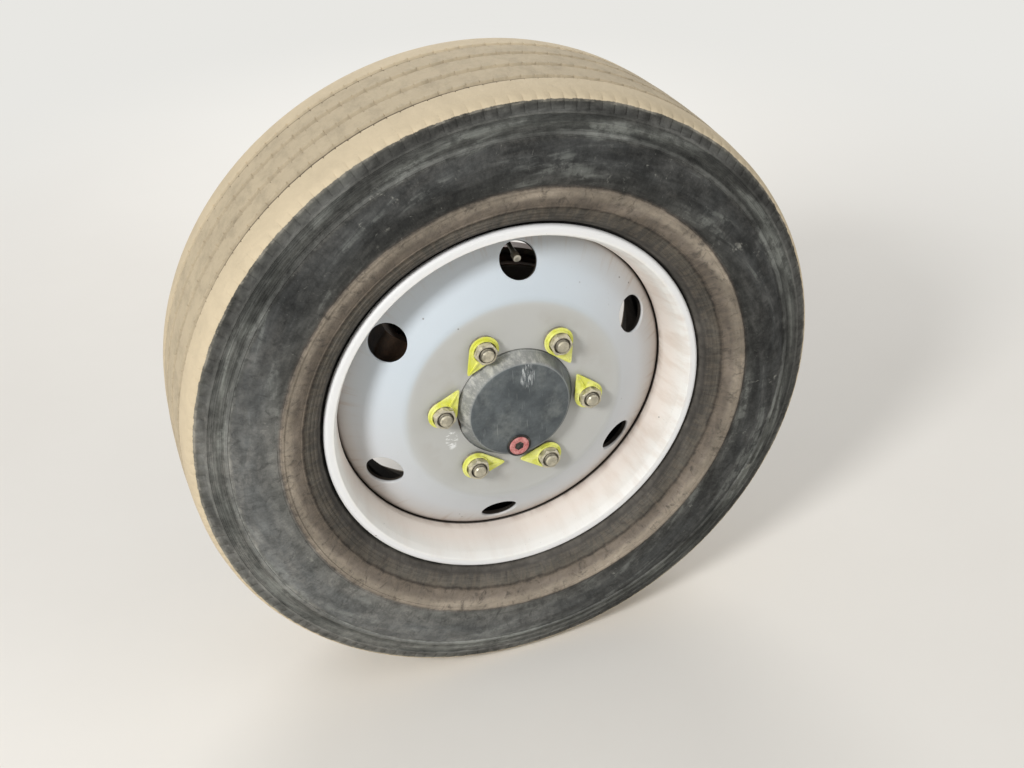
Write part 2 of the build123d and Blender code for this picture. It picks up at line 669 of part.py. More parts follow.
with BuildPart() as knuckle:
    for base_z in (arm_low_z, arm_high_z):
        with BuildSketch(KINGPIN.offset(base_z)):
            with BuildLine():
                CenterArc((0, 0), BOSS_R, 0, 180)
                Polyline((-BOSS_R, 0), (-ARM_HALF_WIDTH, -ARM_REACH), (ARM_HALF_WIDTH, -ARM_REACH), (BOSS_R, 0))
            make_face()
        extrude(amount=ARM_THICK)
    with BuildSketch(KINGPIN.offset(arm_low_z)):
        with Locations((0, -ARM_REACH / 2 - EYE_R / 2)):
            Rectangle(2 * WEB_HALF_WIDTH, ARM_REACH - EYE_R)
    extrude(amount=fork_top_z - arm_low_z)
    with BuildSketch(KINGPIN.offset(arm_low_z + ARM_THICK)):
        Circle(EYE_R + EYE_SWEEP)
    extrude(amount=arm_high_z - arm_low_z - ARM_THICK, mode=Mode.SUBTRACT)
    with BuildSketch(FACE.offset(plate_out)):
        Rectangle(4 * ARM_REACH, 4 * ARM_REACH)
    extrude(amount=2 * ARM_REACH, mode=Mode.SUBTRACT)
    with BuildSketch(FACE.offset(plate_in)):
        Circle(PLATE_R)
    extrude(amount=plate_out - plate_in)
    with BuildSketch(section_at(BRAKE_ANGLE - LUG_HALF_ANGLE)):
        with Locations(((plate_in + plate_out) / 2, (SPINDLE_ROOT_R + lug_r) / 2)):
            Rectangle(plate_out - plate_in, lug_r - SPINDLE_ROOT_R)
    revolve(axis=AXLE_LINE, revolution_arc=2 * LUG_HALF_ANGLE)
    with BuildSketch(KINGPIN.offset(arm_low_z + ARM_THICK)):
        Circle(EYE_R + EYE_SWEEP)
    extrude(amount=arm_high_z - arm_low_z - ARM_THICK, mode=Mode.SUBTRACT)
    with BuildSketch(UPRIGHT):
        with BuildLine():
            outline(spindle_rows)
        make_face()
    revolve(axis=AXLE_LINE)
    with Locations(KINGPIN.offset(fork_top_z)):
        Hole(KINGPIN_R + RUNNING)
    with Locations(FACE.offset(plate_out)):
        with Locations(sensor_place):
            Hole(SENSOR_R, depth=2 * (plate_out - plate_in))
    with Locations(FACE.offset(plate_out)):
        with Locations((STOP_X, STOP_Z)):
            Hole(STOP_R, depth=2 * (plate_out - plate_in))

# Wheel bearings as plain rings, and the nut that holds them on the spindle
with BuildPart() as wheel_bearings:
    for start_w, end_w, bore_r, outer_r in (INNER_BEARING, OUTER_BEARING):
        with BuildSketch(FACE.offset(start_w)):
            Circle(outer_r)
            Circle(bore_r, mode=Mode.SUBTRACT)
        extrude(amount=end_w - start_w)

with BuildPart() as spindle_nut:
    with BuildSketch(FACE.offset(out_w1)):
        RegularPolygon(SPINDLE_NUT_FLATS / 2, 6, major_radius=False)
        Circle(SPINDLE_THREAD_R, mode=Mode.SUBTRACT)
    extrude(amount=SPINDLE_NUT_THICK)

# Speed sensor in the flange plate, its tip short of the toothed ring
with BuildPart() as speed_sensor:
    with BuildSketch(FACE.offset(plate_in)):
        with Locations(sensor_place):
            Circle(SENSOR_R)
    extrude(amount=HUB_INNER_END_W - SENSOR_GAP - plate_in)
    with BuildSketch(FACE.offset(plate_in)):
        with Locations(sensor_place):
            Circle(SENSOR_R + SENSOR_COLLAR)
    extrude(amount=-SENSOR_COLLAR_THICK)
    with BuildSketch(FACE.offset(plate_in - SENSOR_COLLAR_THICK)):
        with Locations(sensor_place):
            Circle(SENSOR_R)
    extrude(amount=-SENSOR_TAIL, taper=SENSOR_TAPER)

# Stop screw, which meets the axle end at full lock
with BuildPart() as steer_stop:
    with BuildSketch(FACE.offset(plate_out)):
        with Locations((STOP_X, STOP_Z)):
            Circle(STOP_R)
    extrude(amount=-(plate_out - plate_in) - STOP_LENGTH)
    with BuildSketch(FACE.offset(plate_in)):
        with Locations((STOP_X, STOP_Z)):
            RegularPolygon(STOP_FLATS / 2, 6, major_radius=False)
            Circle(STOP_R, mode=Mode.SUBTRACT)
    extrude(amount=-STOP_NUT_THICK)

# Brake carrier: foot plate on the knuckle, and two arms over the disc's edge that hold the pads
carrier_w0 = plate_in - CARRIER_THICK
pad_out_end = rotor_out + PAD_GAP + PAD_THICK
pad_in_end = rotor_in - PAD_GAP - PAD_THICK
with BuildPart() as brake_carrier:
    with BuildSketch(section_at(BRAKE_ANGLE - CARRIER_HALF_ANGLE)):
        with BuildLine():
            Polyline(
                (carrier_w0, CARRIER_FOOT_R),
                (plate_in, CARRIER_FOOT_R),
                (plate_in, ARM_LOW_R),
                (pad_out_end, ARM_LOW_R),
                (pad_out_end, ARM_HIGH_R),
                (carrier_w0, ARM_HIGH_R),
                close=True,
            )
        make_face()
    revolve(axis=AXLE_LINE, revolution_arc=2 * CARRIER_HALF_ANGLE)
    with BuildSketch(section_at(BRAKE_ANGLE - CARRIER_ARM_ANGLE)):
        with Locations(((carrier_w0 + pad_out_end) / 2, window_r + ARM_HIGH_R / 2)):
            Rectangle(2 * (pad_out_end - carrier_w0), ARM_HIGH_R)
    revolve(axis=AXLE_LINE, revolution_arc=2 * CARRIER_ARM_ANGLE, mode=Mode.SUBTRACT)
    with BuildSketch(FACE.offset(plate_in)):
        with Locations(*GUIDE_PLACES):
            Circle(GUIDE_PIN_R)
    extrude(amount=-CARRIER_THICK, mode=Mode.SUBTRACT)

# Guide pins that the calliper slides on
with BuildPart() as calliper_pins:
    with BuildSketch(FACE.offset(plate_in)):
        with Locations(*GUIDE_PLACES):
            Circle(GUIDE_PIN_R)
    extrude(amount=-CARRIER_THICK - GUIDE_PIN_LENGTH)

# Brake pads: a lining on a steel plate, one each side of the disc
with BuildPart() as brake_pads:
    for start_w in (rotor_out + PAD_GAP, pad_in_end):
        with BuildSketch(section_at(BRAKE_ANGLE - PAD_HALF_ANGLE)):
            with Locations((start_w + PAD_THICK / 2, (PAD_IN_R + PAD_OUT_R) / 2)):
                Rectangle(PAD_THICK, PAD_OUT_R - PAD_IN_R)
        revolve(axis=AXLE_LINE, revolution_arc=2 * PAD_HALF_ANGLE)

# Calliper: a saddle over the disc, with two cylinders inboard and two ears on the guide pins
leg_in_w = pad_in_end - PAD_GAP
leg_out_w = pad_out_end + PAD_GAP
saddle_rows = [
    (leg_in_w - LEG_IN_THICK, LEG_IN_R, CALLIPER_ROUND / 2),
    (leg_in_w, LEG_IN_R, 0),
    (leg_in_w, BRIDGE_R, 0),
    (leg_out_w, BRIDGE_R, 0),
    (leg_out_w, LEG_OUT_R, 0),
    (leg_out_w + LEG_OUT_THICK, LEG_OUT_R, CALLIPER_ROUND / 2),
    (leg_out_w + LEG_OUT_THICK, LEG_TOP_R, CALLIPER_ROUND),
    (leg_in_w - LEG_IN_THICK, LEG_TOP_R, CALLIPER_ROUND),
]
ear_w = leg_in_w - LEG_IN_THICK - EAR_OVERHANG
piston_r = (PAD_IN_R + PAD_OUT_R) / 2 + PISTON_LIFT
with BuildPart() as brake_calliper:
    with BuildSketch(section_at(BRAKE_ANGLE - CALLIPER_HALF_ANGLE)):
        with BuildLine():
            outline(saddle_rows)
        make_face()
    revolve(axis=AXLE_LINE, revolution_arc=2 * CALLIPER_HALF_ANGLE)
    with BuildSketch(FACE.offset(leg_in_w - LEG_IN_THICK / 2)):
        with Locations(*[polar(piston_r, BRAKE_ANGLE + sign * PISTON_ANGLE) for sign in (-1, 1)]):
            Circle(PISTON_R)
    extrude(amount=-LEG_IN_THICK / 2 - PISTON_PROUD)
    with BuildSketch(FACE.offset(ear_w)):
        with BuildLine():
            for place in GUIDE_PLACES:
                CenterArc(place, EAR_R, 0, 360)
        make_hull()
        with Locations(*GUIDE_PLACES):
            Circle(GUIDE_PIN_R, mode=Mode.SUBTRACT)
    extrude(amount=EAR_THICK)

# Dust shield: thin pressed plate behind the disc, with an edge turned outboard and a gap for the brake
with BuildPart() as dust_shield:
    with BuildSketch(section_at(BRAKE_ANGLE + SHIELD_CUT_ANGLE)):
        with BuildLine():
            Polyline(
                (plate_out, SHIELD_BORE_R),
                (plate_out, SHIELD_R),
                (plate_out + SHIELD_LIP, SHIELD_R),
                (plate_out + SHIELD_LIP, SHIELD_R - SHIELD_THICK),
                (plate_out + SHIELD_THICK, SHIELD_R - SHIELD_THICK),
                (plate_out + SHIELD_THICK, SHIELD_BORE_R),
                close=True,
            )
        make_face()
    revolve(axis=AXLE_LINE, revolution_arc=360 - 2 * SHIELD_CUT_ANGLE)
    with Locations(FACE.offset(plate_out + SHIELD_THICK)):
        with Locations(sensor_place):
            Hole(SENSOR_R, depth=3 * SHIELD_THICK)

# Kingpin covers, the lower one carrying the steering arm
with BuildPart() as kingpin_cap:
    with BuildSketch(KINGPIN.offset(fork_top_z)):
        Circle(BOSS_R - CAP_PLATE_INSET)
    extrude(amount=CAP_PLATE_THICK)
    with BuildSketch(KINGPIN.offset(fork_top_z + CAP_PLATE_THICK)):
        Circle(NIPPLE_R)
    extrude(amount=NIPPLE_LENGTH, taper=NIPPLE_TAPER)

with BuildPart() as steering_arm:
    with BuildSketch(KINGPIN.offset(arm_low_z)):
        Circle(BOSS_R)
    extrude(amount=-STEER_ARM_THICK)
    with BuildSketch(KINGPIN.offset(arm_low_z)):
        with BuildLine():
            CenterArc((0, 0), STEER_ARM_ROOT_R, 0, 360)
            CenterArc((TIE_HOLE_X, TIE_HOLE_Y), STEER_ARM_TIP_R, 0, 360)
        make_hull()
    extrude(amount=-STEER_ARM_THICK)
    with BuildSketch(KINGPIN.offset(arm_low_z)):
        with Locations((TIE_HOLE_X, TIE_HOLE_Y)):
            Circle(TIE_BOSS_R)
    extrude(amount=-TIE_BOSS_THICK)
    with Locations(KINGPIN.offset(arm_low_z)):
        with Locations((TIE_HOLE_X, TIE_HOLE_Y)):
            Hole(TIE_HOLE_R, depth=2 * TIE_BOSS_THICK)

# Axle end: eye round the kingpin, neck, shoulder and the round spigot
with BuildPart() as axle_end:
    with BuildSketch(KINGPIN.offset(-EYE_HALF)):
        Circle(EYE_R)
    extrude(amount=2 * EYE_HALF)
    with BuildSketch(Plane.XY) as neck:
        with BuildLine():
            Polyline(
                (-NECK_HALF_WIDTH, KINGPIN_Y),
                (-NECK_HALF_WIDTH, KINGPIN_Y + NECK_STRAIGHT),
                (-NECK_END_HALF_WIDTH, SHOULDER_Y - SHOULDER_THICK / 2),
                (NECK_END_HALF_WIDTH, SHOULDER_Y - SHOULDER_THICK / 2),
                (NECK_HALF_WIDTH, KINGPIN_Y + NECK_STRAIGHT),
                (NECK_HALF_WIDTH, KINGPIN_Y),
                close=True,
            )
        make_face()
    extrude(neck.sketch, amount=NECK_HALF_HEIGHT, taper=NECK_DRAFT)
    extrude(neck.sketch, amount=-NECK_HALF_HEIGHT, taper=NECK_DRAFT)
    with BuildSketch(Plane.XZ.offset(-SHOULDER_Y)):
        Circle(SHOULDER_R)
    extrude(amount=SHOULDER_THICK)
    with BuildSketch(Plane.XZ.offset(-SHOULDER_Y)):
        Circle(SPIGOT_R)
    extrude(amount=-SPIGOT_LENGTH)
    end_edge = axle_end.edges().filter_by(GeomType.CIRCLE).sort_by(Axis.Y)[-1]
    chamfer(end_edge, length=SPIGOT_CHAMFER)
    with Locations(KINGPIN.offset(EYE_HALF)):
        Hole(KINGPIN_R, depth=2 * EYE_HALF)
    with BuildSketch(Plane(origin=(0, KINGPIN_Y + KEY_OFFSET, 0), z_dir=(1, 0, 0))):
        Circle(KEY_R)
    extrude(amount=2 * EYE_R, both=True, mode=Mode.SUBTRACT)

with BuildPart() as kingpin:
    with BuildSketch(KINGPIN.offset(arm_low_z)):
        Circle(KINGPIN_R)
    extrude(amount=fork_top_z - arm_low_z)
    with BuildSketch(Plane(origin=(0, KINGPIN_Y + KEY_OFFSET, 0), z_dir=(1, 0, 0))):
        Circle(KEY_R)
    extrude(amount=2 * EYE_R, both=True, mode=Mode.SUBTRACT)

with BuildPart() as kingpin_key:
    with BuildSketch(Plane(origin=(0, KINGPIN_Y + KEY_OFFSET, 0), z_dir=(1, 0, 0))):
        Circle(KEY_R)
    extrude(amount=KEY_HALF, both=True)

with BuildPart() as thrust_bearing:
    with BuildSketch(KINGPIN.offset(-EYE_HALF - THRUST_THICK)):
        Circle(BOSS_R)
        Circle(KINGPIN_R, mode=Mode.SUBTRACT)
    extrude(amount=THRUST_THICK)

pieces = {
    "axle_end": axle_end,
    "kingpin": kingpin,
    "kingpin_key": kingpin_key,
    "thrust_bearing": thrust_bearing,
    "knuckle": knuckle,
    "kingpin_cap": kingpin_cap,
    "steering_arm": steering_arm,
    "steer_stop": steer_stop,
    "wheel_bearings": wheel_bearings,
    "spindle_nut": spindle_nut,
    "speed_sensor": speed_sensor,
    "brake_carrier": brake_carrier,
    "calliper_pins": calliper_pins,
    "brake_pads": brake_pads,
    "brake_calliper": brake_calliper,
    "dust_shield": dust_shield,
    "hub": hub,
    "tone_ring": tone_ring,
    "brake_disc": brake_disc,
    "wheel_studs": wheel_studs,
    "rim": rim,
    "wheel_disc": wheel_disc,
    "tyre": tyre,
    "wheel_nuts": wheel_nuts,
    "nut_pointers": nut_pointers,
    "hub_cap": hub_cap,
    "hub_cap_plug": hub_cap_plug,
    "valve": valve,
}
os.makedirs("parts", exist_ok=True)
for name, piece in pieces.items():
    piece.part.label = name
    export_step(piece.part, f"parts/{name}.step")
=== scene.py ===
import json
import math

import bmesh
import bpy
from mathutils import Matrix, Vector


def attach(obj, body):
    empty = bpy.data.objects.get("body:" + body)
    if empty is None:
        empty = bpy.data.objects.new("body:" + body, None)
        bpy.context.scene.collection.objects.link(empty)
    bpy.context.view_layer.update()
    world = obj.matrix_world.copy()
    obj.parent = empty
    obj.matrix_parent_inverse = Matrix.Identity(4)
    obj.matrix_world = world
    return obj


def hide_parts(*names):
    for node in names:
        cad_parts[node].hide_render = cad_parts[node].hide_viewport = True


# Steered front wheel end: the looks of a dusty truck wheel with its hub, brake, knuckle and axle end.
# Blender works in metres. Tables of sizes below are in millimetres, and MM turns them into metres.
# Stations, W in the names, are measured outboard from the rim's middle plane, and radii, R in the names,
# from the axle line. Angles run from forward towards up.
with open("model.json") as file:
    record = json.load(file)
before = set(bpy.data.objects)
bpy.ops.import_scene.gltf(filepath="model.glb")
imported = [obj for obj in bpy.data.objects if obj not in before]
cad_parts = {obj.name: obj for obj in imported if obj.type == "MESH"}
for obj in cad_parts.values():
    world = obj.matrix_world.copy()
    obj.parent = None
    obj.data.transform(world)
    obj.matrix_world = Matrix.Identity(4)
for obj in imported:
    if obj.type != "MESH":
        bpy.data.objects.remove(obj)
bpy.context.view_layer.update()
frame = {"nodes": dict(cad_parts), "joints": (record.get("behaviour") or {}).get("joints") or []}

MM = 0.001
JOINTS = {joint["name"]: joint for joint in frame["joints"]}
WHEEL_CENTRE = Vector(JOINTS["wheel_roll"]["pos_m"])
KINGPIN_CENTRE = Vector(JOINTS["steer"]["pos_m"])
KINGPIN_UP = Vector(JOINTS["steer"]["axis"]).normalized()
FORWARD = Vector((1, 0, 0))
INBOARD = Vector((0, 1, 0))
OUTBOARD = Vector((0, -1, 0))

# Camera: the photograph's viewpoint, with a longer lens that fills the frame with the object
CAMERA_PLACE = Vector((-0.4619, -1.7096, 0.9499))
CAMERA_AIM = Vector((0.005, -0.365, 0.012))
CAMERA_ROLL = math.radians(-2.1)
CAMERA_LENS = 45
CAMERA_SENSOR = 36

# Floor and light: sizes and places in metres
FLOOR_SIZE = 80
FLOOR_FADE = (0.9, 2.6)
WORLD_LEVEL = 0.4
# Name, place, size, watts
LIGHTS = (
    ("key", (-2.6, -2.3, 2.2), 0.9, 106),
    ("fill", (2.6, -2.2, 1.4), 2.4, 24),
    ("back", (0.9, 2.9, 1.5), 2, 62),
)

# Rim and wheel disc
OUTER_W = 107
FLANGE_R = 260.35
SEAT_R = 247.65
LEDGE_R = 237.3
WELL_R = 221
PLATEAU_W = 91
PLATEAU_R = 150
CONE_W = 65.5
CONE_R = 196
CONE_SLOPE = 0.62
VENT_COUNT = 6
VENT_RADIUS = 25.5
VENT_PHASE = 24
VENT_TILT = 32
VENT_LIP = 1.3
VENT_SIDES = 72
RIM_SEGMENTS = 288
# The weld's corner, its size and its number of ripples
WELD_W = 28.5
WELD_R = 231.8
WELD_SIZE = 5.2
WELD_RIPPLES = 170

# Studs, nuts and pointers
STUD_COUNT = 6
STUD_CIRCLE = 102.5
STUD_PHASE = VENT_PHASE + 30
STUD_R = 9
STUD_FOOT_W = 37
STUD_SEAT_W = 45
STUD_TIP_W = 115
THREAD_PITCH = 2
NUT_FLATS = 27
# Stations of a nut's base, of its collar's top and of its own top
NUT_W = (91, 96, 110)
NUT_TWIST = 11
POINTER_R = 20
POINTER_REACH = 42

# Hub cap and its plug
CAP_SEAT_W = 88
CAP_TOP_W = 110.5
CAP_R = 80
CAP_SEGMENTS = 192
PLUG_CIRCLE = 56
PLUG_ANGLE = -94
# The knock that the cap's edge has taken, and the dents in its face
KNOCK_ANGLE = -170
KNOCK_R = 77
KNOCK_WIDTH = 5
KNOCK_DEPTH = 3.2
DENT_R = 60
DENT_WIDTH = 12
DENT_DEPTH = 0.125

# Tyre
TYRE_R = 433
SHOULDER_R = 421
SHOULDER_W = 112
TREAD_DEPTH = 10
GROOVE_WIDTH = 9
# Grooves of one half of the tread
GROOVES = (63, 22)
PITCH_COUNT = 160
# Where the columns of points stand in each pitch of the tread, as shares of it
COLUMNS = (0, 0.05, 0.1, 0.55)
SIPE_DEPTH = 1.3
SIPE_REACH = 4
TICK_DEPTH = 1.1

# Valve: its route as station, radius, corner rounding
VALVE_ANGLE = 84
VALVE_ROUTE = ((-8, 215.4, 0), (-8, 207, 7), (60, 194, 0))
VALVE_R = 3.2


def srgb(red, green, blue):
    """A colour as it shows on the screen, 0 to 255, as the linear colour that a shader takes."""
    linear = []
    for value in (red, green, blue):
        share = value / 255
        linear.append(share / 12.92 if share <= 0.04045 else ((share + 0.055) / 1.055) ** 2.4)
    return (*linear, 1)


def spoke(angle):
    """Unit vector away from the axle line at an angle in degrees."""
    turn = math.radians(angle)
    return Vector((math.cos(turn), 0, math.sin(turn)))


def sideways(angle):
    """Unit vector round the wheel at an angle in degrees."""
    turn = math.radians(angle)
    return Vector((-math.sin(turn), 0, math.cos(turn)))


def at(station, radius, angle):
    """Point in metres from a station and radius in millimetres and an angle in degrees."""
    turn = math.radians(angle)
    reach = radius * MM
    return Vector((reach * math.cos(turn), WHEEL_CENTRE.y - station * MM, reach * math.sin(turn)))


def rounded(rows, closed=True, turn_step=11):
    """Outline points from rows of (station, radius, corner rounding), each corner drawn as an arc."""
    points = []
    last = len(rows) - 1
    for i, (station, radius, corner) in enumerate(rows):
        here = Vector((station, radius))
        if corner == 0 or (not closed and i in (0, last)):
            points.append(here)
            continue
        before = (Vector(rows[i - 1][:2]) - here).normalized()
        after = (Vector(rows[(i + 1) % len(rows)][:2]) - here).normalized()
        half = before.angle(after) / 2
        centre = here + (before + after).normalized() * (corner / math.sin(half))
        start = here + before * (corner / math.tan(half)) - centre
        end = here + after * (corner / math.tan(half)) - centre
        turn = start.angle(end)
        side = 1 if start.x * end.y - start.y * end.x > 0 else -1
        steps = max(2, math.ceil(math.degrees(turn) / turn_step))
        for k in range(steps + 1):
            cosine, sine = math.cos(side * turn * k / steps), math.sin(side * turn * k / steps)
            x, y = start.x * cosine - start.y * sine, start.x * sine + start.y * cosine
            points.append(centre + Vector((x, y)))
    return points


def even_angles(count):
    """Angles in degrees, evenly spaced round a full turn."""
    return [360 * i / count for i in range(count)]


def even_turns(count):
    """Angles in radians, evenly spaced round a full turn."""
    return [2 * math.pi * i / count for i in range(count)]


def face_out(mesh):
    """Turns a mesh's faces outward."""
    work = bmesh.new()
    work.from_mesh(mesh)
    bmesh.ops.recalc_face_normals(work, faces=work.faces)
    work.to_mesh(mesh)
    work.free()


def new_object(name, data):
    obj = bpy.data.objects.new(name, data)
    bpy.context.scene.collection.objects.link(obj)
    return obj


def settle(obj, material, body, replaced, sharp):
    """Sets shading, material and body, and hides the nodes that the piece replaces. Edges over sharp degrees
    stay sharp.
    """
    obj.data.shade_smooth()
    obj.data.set_sharp_from_angle(angle=math.radians(sharp))
    obj.data.materials.clear()
    obj.data.materials.append(material)
    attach(obj, body)
    if replaced:
        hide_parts(*replaced)


class Shape:
    """Points and faces of one piece, gathered stretch by stretch."""

    def __init__(self):
        self.points = []
        self.faces = []

    def rings(self, rings, round_rows=False, start_cap=False, end_cap=False):
        """Adds rings of equal count, joined by quads. A cap closes the first or last ring."""
        count = len(rings[0])
        base = len(self.points)
        for ring in rings:
            self.points.extend(ring)
        for j in range(len(rings) if round_rows else len(rings) - 1):
            low = base + j * count
            high = base + ((j + 1) % len(rings)) * count
            for i in range(count):
                n = (i + 1) % count
                self.faces.append((low + i, low + n, high + n, high + i))
        if start_cap:
            self.faces.append(tuple(range(base + count - 1, base - 1, -1)))
        if end_cap:
            top = base + (len(rings) - 1) * count
            self.faces.append(tuple(range(top, top + count)))

    def lathe(self, outline, segments):
        """Turns a closed outline of (station, radius) about the axle line."""
        self.rings([[at(w, r, a) for a in even_angles(segments)] for w, r in outline], round_rows=True)

    def turned(self, origin, axis, rows, sides=32, caps=(True, True), across=None):
        """Turns rows of (height, radius) about an axis. A radius may be a function of the angle."""
        axis = axis.normalized()
        across = across or axis.orthogonal()
        across = (across - axis * across.dot(axis)).normalized()
        other = axis.cross(across)
        rings = []
        for height, radius in rows:
            ring = []
            for turn in even_turns(sides):
                reach = (radius(turn) if callable(radius) else radius) * MM
                away = across * math.cos(turn) + other * math.sin(turn)
                ring.append(origin + axis * (height * MM) + away * reach)
            rings.append(ring)
        self.rings(rings, start_cap=caps[0], end_cap=caps[1])

    def object(self, name):
        mesh = bpy.data.meshes.new(name)
        mesh.from_pydata(self.points, [], self.faces)
        mesh.validate()
        face_out(mesh)
        return new_object(name, mesh)

    def piece(self, name, material, slot, replaced=(), body="wheel", sharp=32):
        """Makes the mesh object, smooth up to the sharp angle, and puts it on its body."""
        settle(self.object(name), material, body, replaced, sharp)


def hexagon(flats, limit=math.inf):
    """Radius of a hexagon at each angle, its corners cut by a circle where a limit is given."""
    step = math.pi / 3
    return lambda turn: min(flats / 2 / math.cos(turn % step - step / 2), limit)


def hexagon_rows(flats, start, end):
    """Rows of a hexagon prism with its corners turned off at the end."""
    corner = flats / 2 / math.cos(math.pi / 6)
    inner = flats / 2 * 0.97
    depth = (corner - inner) * math.tan(math.radians(30))
    cut = [
        (end - depth * share, hexagon(flats, inner + (corner - inner) * share))
        for share in (1, 0.75, 0.5, 0.25, 0)
    ]
    return [(start, hexagon(flats)), *cut]


class Value:
    """A number or colour that a material works out at each place, used with the plain signs."""

    def __init__(self, paint, socket):
        self.paint = paint
        self.socket = socket

    def __add__(self, other):
        return self.paint.math("ADD", self, other)

    def __sub__(self, other):
        return self.paint.math("SUBTRACT", self, other)

    def __rsub__(self, other):
        return self.paint.math("SUBTRACT", other, self)

    def __mul__(self, other):
        return self.paint.math("MULTIPLY", self, other)

    def __truediv__(self, other):
        return self.paint.math("DIVIDE", self, other)

    __radd__ = __add__
    __rmul__ = __mul__


class Paint:
    """One Principled material, worked out from the place in the row frame. Colours are (red, green, blue)
    as they show on the screen, 0 to 255."""

    def __init__(self, name, roughness=0.5, specular=0.5):
        self.material = bpy.data.materials.new(name)
        self.material.use_nodes = True
        self.nodes = self.material.node_tree.nodes
        self.links = self.material.node_tree.links
        self.shader = self.nodes["Principled BSDF"]
        self.set(roughness=roughness, specular_ior_level=specular)
        self.place = self.node("TexCoord", {}, "Object")

    def feed(self, socket, value):
        if isinstance(value, Value):
            self.links.new(value.socket, socket)
        else:
            socket.default_value = srgb(*value) if isinstance(value, tuple) else value

    def set(self, **values):
        """Feeds the shader's own sockets, named as in base_color."""
        for name, value in values.items():
            self.feed(self.shader.inputs[name.replace("_", " ").title().replace("Ior", "IOR")], value)

    def node(self, kind, inputs, output=0, **settings):
        """A new node with its settings and inputs, and the value that comes out of it."""
        node = self.nodes.new("ShaderNode" + kind)
        for name, setting in settings.items():
            setattr(node, name, setting)
        for socket, value in inputs.items():
            self.feed(node.inputs[socket], value)
        return Value(self, node.outputs[output])

    def math(self, operation, first, second=0):
        return self.node("Math", {0: first, 1: second}, operation=operation)

    def larger(self, first, second):
        return self.math("MAXIMUM", first, second)

    def length(self, across, along):
        return self.math("SQRT", across * across + along * along)

    def split(self, vector):
        node = self.nodes.new("ShaderNodeSeparateXYZ")
        self.feed(node.inputs[0], vector)
        return [Value(self, socket) for socket in node.outputs]

    def join(self, x, y, z):
        return self.node("CombineXYZ", {0: x, 1: y, 2: z})

    def facing(self, axis):
        """How far the surface faces along x, y or z, which are axes 0, 1 and 2."""
        return self.split(self.node("NewGeometry", {}, "Normal"))[axis]

    def on_wheel(self):
        """Radius and station in millimetres. Also keeps the angle in radians, its cosine and its sine."""
        x, y, z = self.split(self.place)
        flat = self.length(x, z)
        safe = self.larger(flat, 1e-5)
        self.radius, self.station = flat / MM, (WHEEL_CENTRE.y - y) / MM
        self.angle, self.cosine, self.sine = self.math("ARCTAN2", z, x), x / safe, z / safe
        return self.radius, self.station

    def polar(self, around, along_radius, along_station=0, shift=0):
        """Coordinates that close round the wheel: waves per radian, per metre of radius and of station."""
        depth = self.radius * (along_radius * MM) + self.station * (along_station * MM)
        return self.join(self.cosine * around, self.sine * around, depth + shift)

    def swirl(self, around, along_radius, slant, shift=0):
        """Polar coordinates whose streaks lean: they move round by slant radians over 100 mm of radius."""
        turn = self.angle + self.radius * (slant / 100)
        return self.join(
            self.math("COSINE", turn) * around, self.math("SINE", turn) * around,
            self.radius * (along_radius * MM) + shift,
        )

    def noise(self, scale, detail=4, roughness=0.55, distortion=0, vector=None):
        return self.node("TexNoise", {
            "Vector": self.place if vector is None else vector,
            "Scale": scale, "Detail": detail, "Roughness": roughness, "Distortion": distortion,
        })

    def patches(self, scale, low, high, *character, vector=None):
        """Noise as patches: 0 where it is under low, 1 over high. Character is what noise takes next."""
        return self.step(self.noise(scale, *character, vector=vector), low, high)

    def streaks(self, waves, low, high, *character):
        """Patches drawn out round the wheel by waves, which are what polar takes."""
        return self.patches(1, low, high, *character, vector=self.polar(*waves))

    def cells(self, scale):
        """Distance from the nearest of many scattered points, in cells."""
        return self.node("TexVoronoi", {"Vector": self.place, "Scale": scale}, "Distance")

    def spots(self, scale, size):
        """Round specks: 1 inside the size, 0 outside, one for each cell."""
        return self.step(self.cells(scale), size, size * 0.55)

    def step(self, value, low, high):
        """Runs smoothly from 0 at low to 1 at high."""
        inputs = {"Value": value, "From Min": low, "From Max": high}
        return self.node("MapRange", inputs, interpolation_type="SMOOTHSTEP")

    def band(self, value, low, high, soft):
        """1 between low and high, falling to 0 over the soft width outside."""
        return self.step(value, low - soft, low) * self.step(value, high + soft, high)

    def oval(self, middle, half):
        """Squared distance from the middle of an oval, 1 at its edge. Middle and half sizes are (x, z)."""
        x, _, z = self.split(self.place)
        across, along = (x - middle[0]) / half[0], (z - middle[1]) / half[1]
        return across * across + along * along

    def mix(self, share, first, second, blend="MIX"):
        return self.node("Mix", {0: share, 6: first, 7: second}, 2, data_type="RGBA", blend_type=blend)

    def coats(self, colour, *layers):
        """Lays coats over a colour, each as (share, colour)."""
        for share, tint in layers:
            colour = self.mix(share, colour, tint)
        return colour

    def shade(self, colour, factor):
        """The colour times a grey factor."""
        return self.mix(1, colour, self.join(factor, factor, factor), "MULTIPLY")

    def ramp(self, value, stops):
        """Colours along a value: stops are (value, colour)."""
        low, high = stops[0][0], stops[-1][0]
        share = self.node("MapRange", {"Value": value, "From Min": low, "From Max": high})
        node = self.nodes.new("ShaderNodeValToRGB")
        self.feed(node.inputs[0], share)
        elements = node.color_ramp.elements
        elements.remove(elements[-1])
        for i, (stop, colour) in enumerate(stops):
            position = (stop - low) / (high - low)
            element = elements.new(position) if i else elements[0]
            element.position = position
            element.color = srgb(*colour)
        return Value(self, node.outputs[0])

    def done(self, colour, *layers, **values):
        """Sets the colour, other values and the relief, whose layers are (height, depth in millimetres)."""
        normal = {}
        for height, depth in layers:
            bump = self.node("Bump", {"Height": height, "Distance": depth * MM, **normal})
            normal = {"Normal": bump}
        self.set(base_color=colour, normal=bump, **values)
        return self.material


# Materials

DUST = (206, 190, 161)
BACKGROUND = (232, 231, 227)
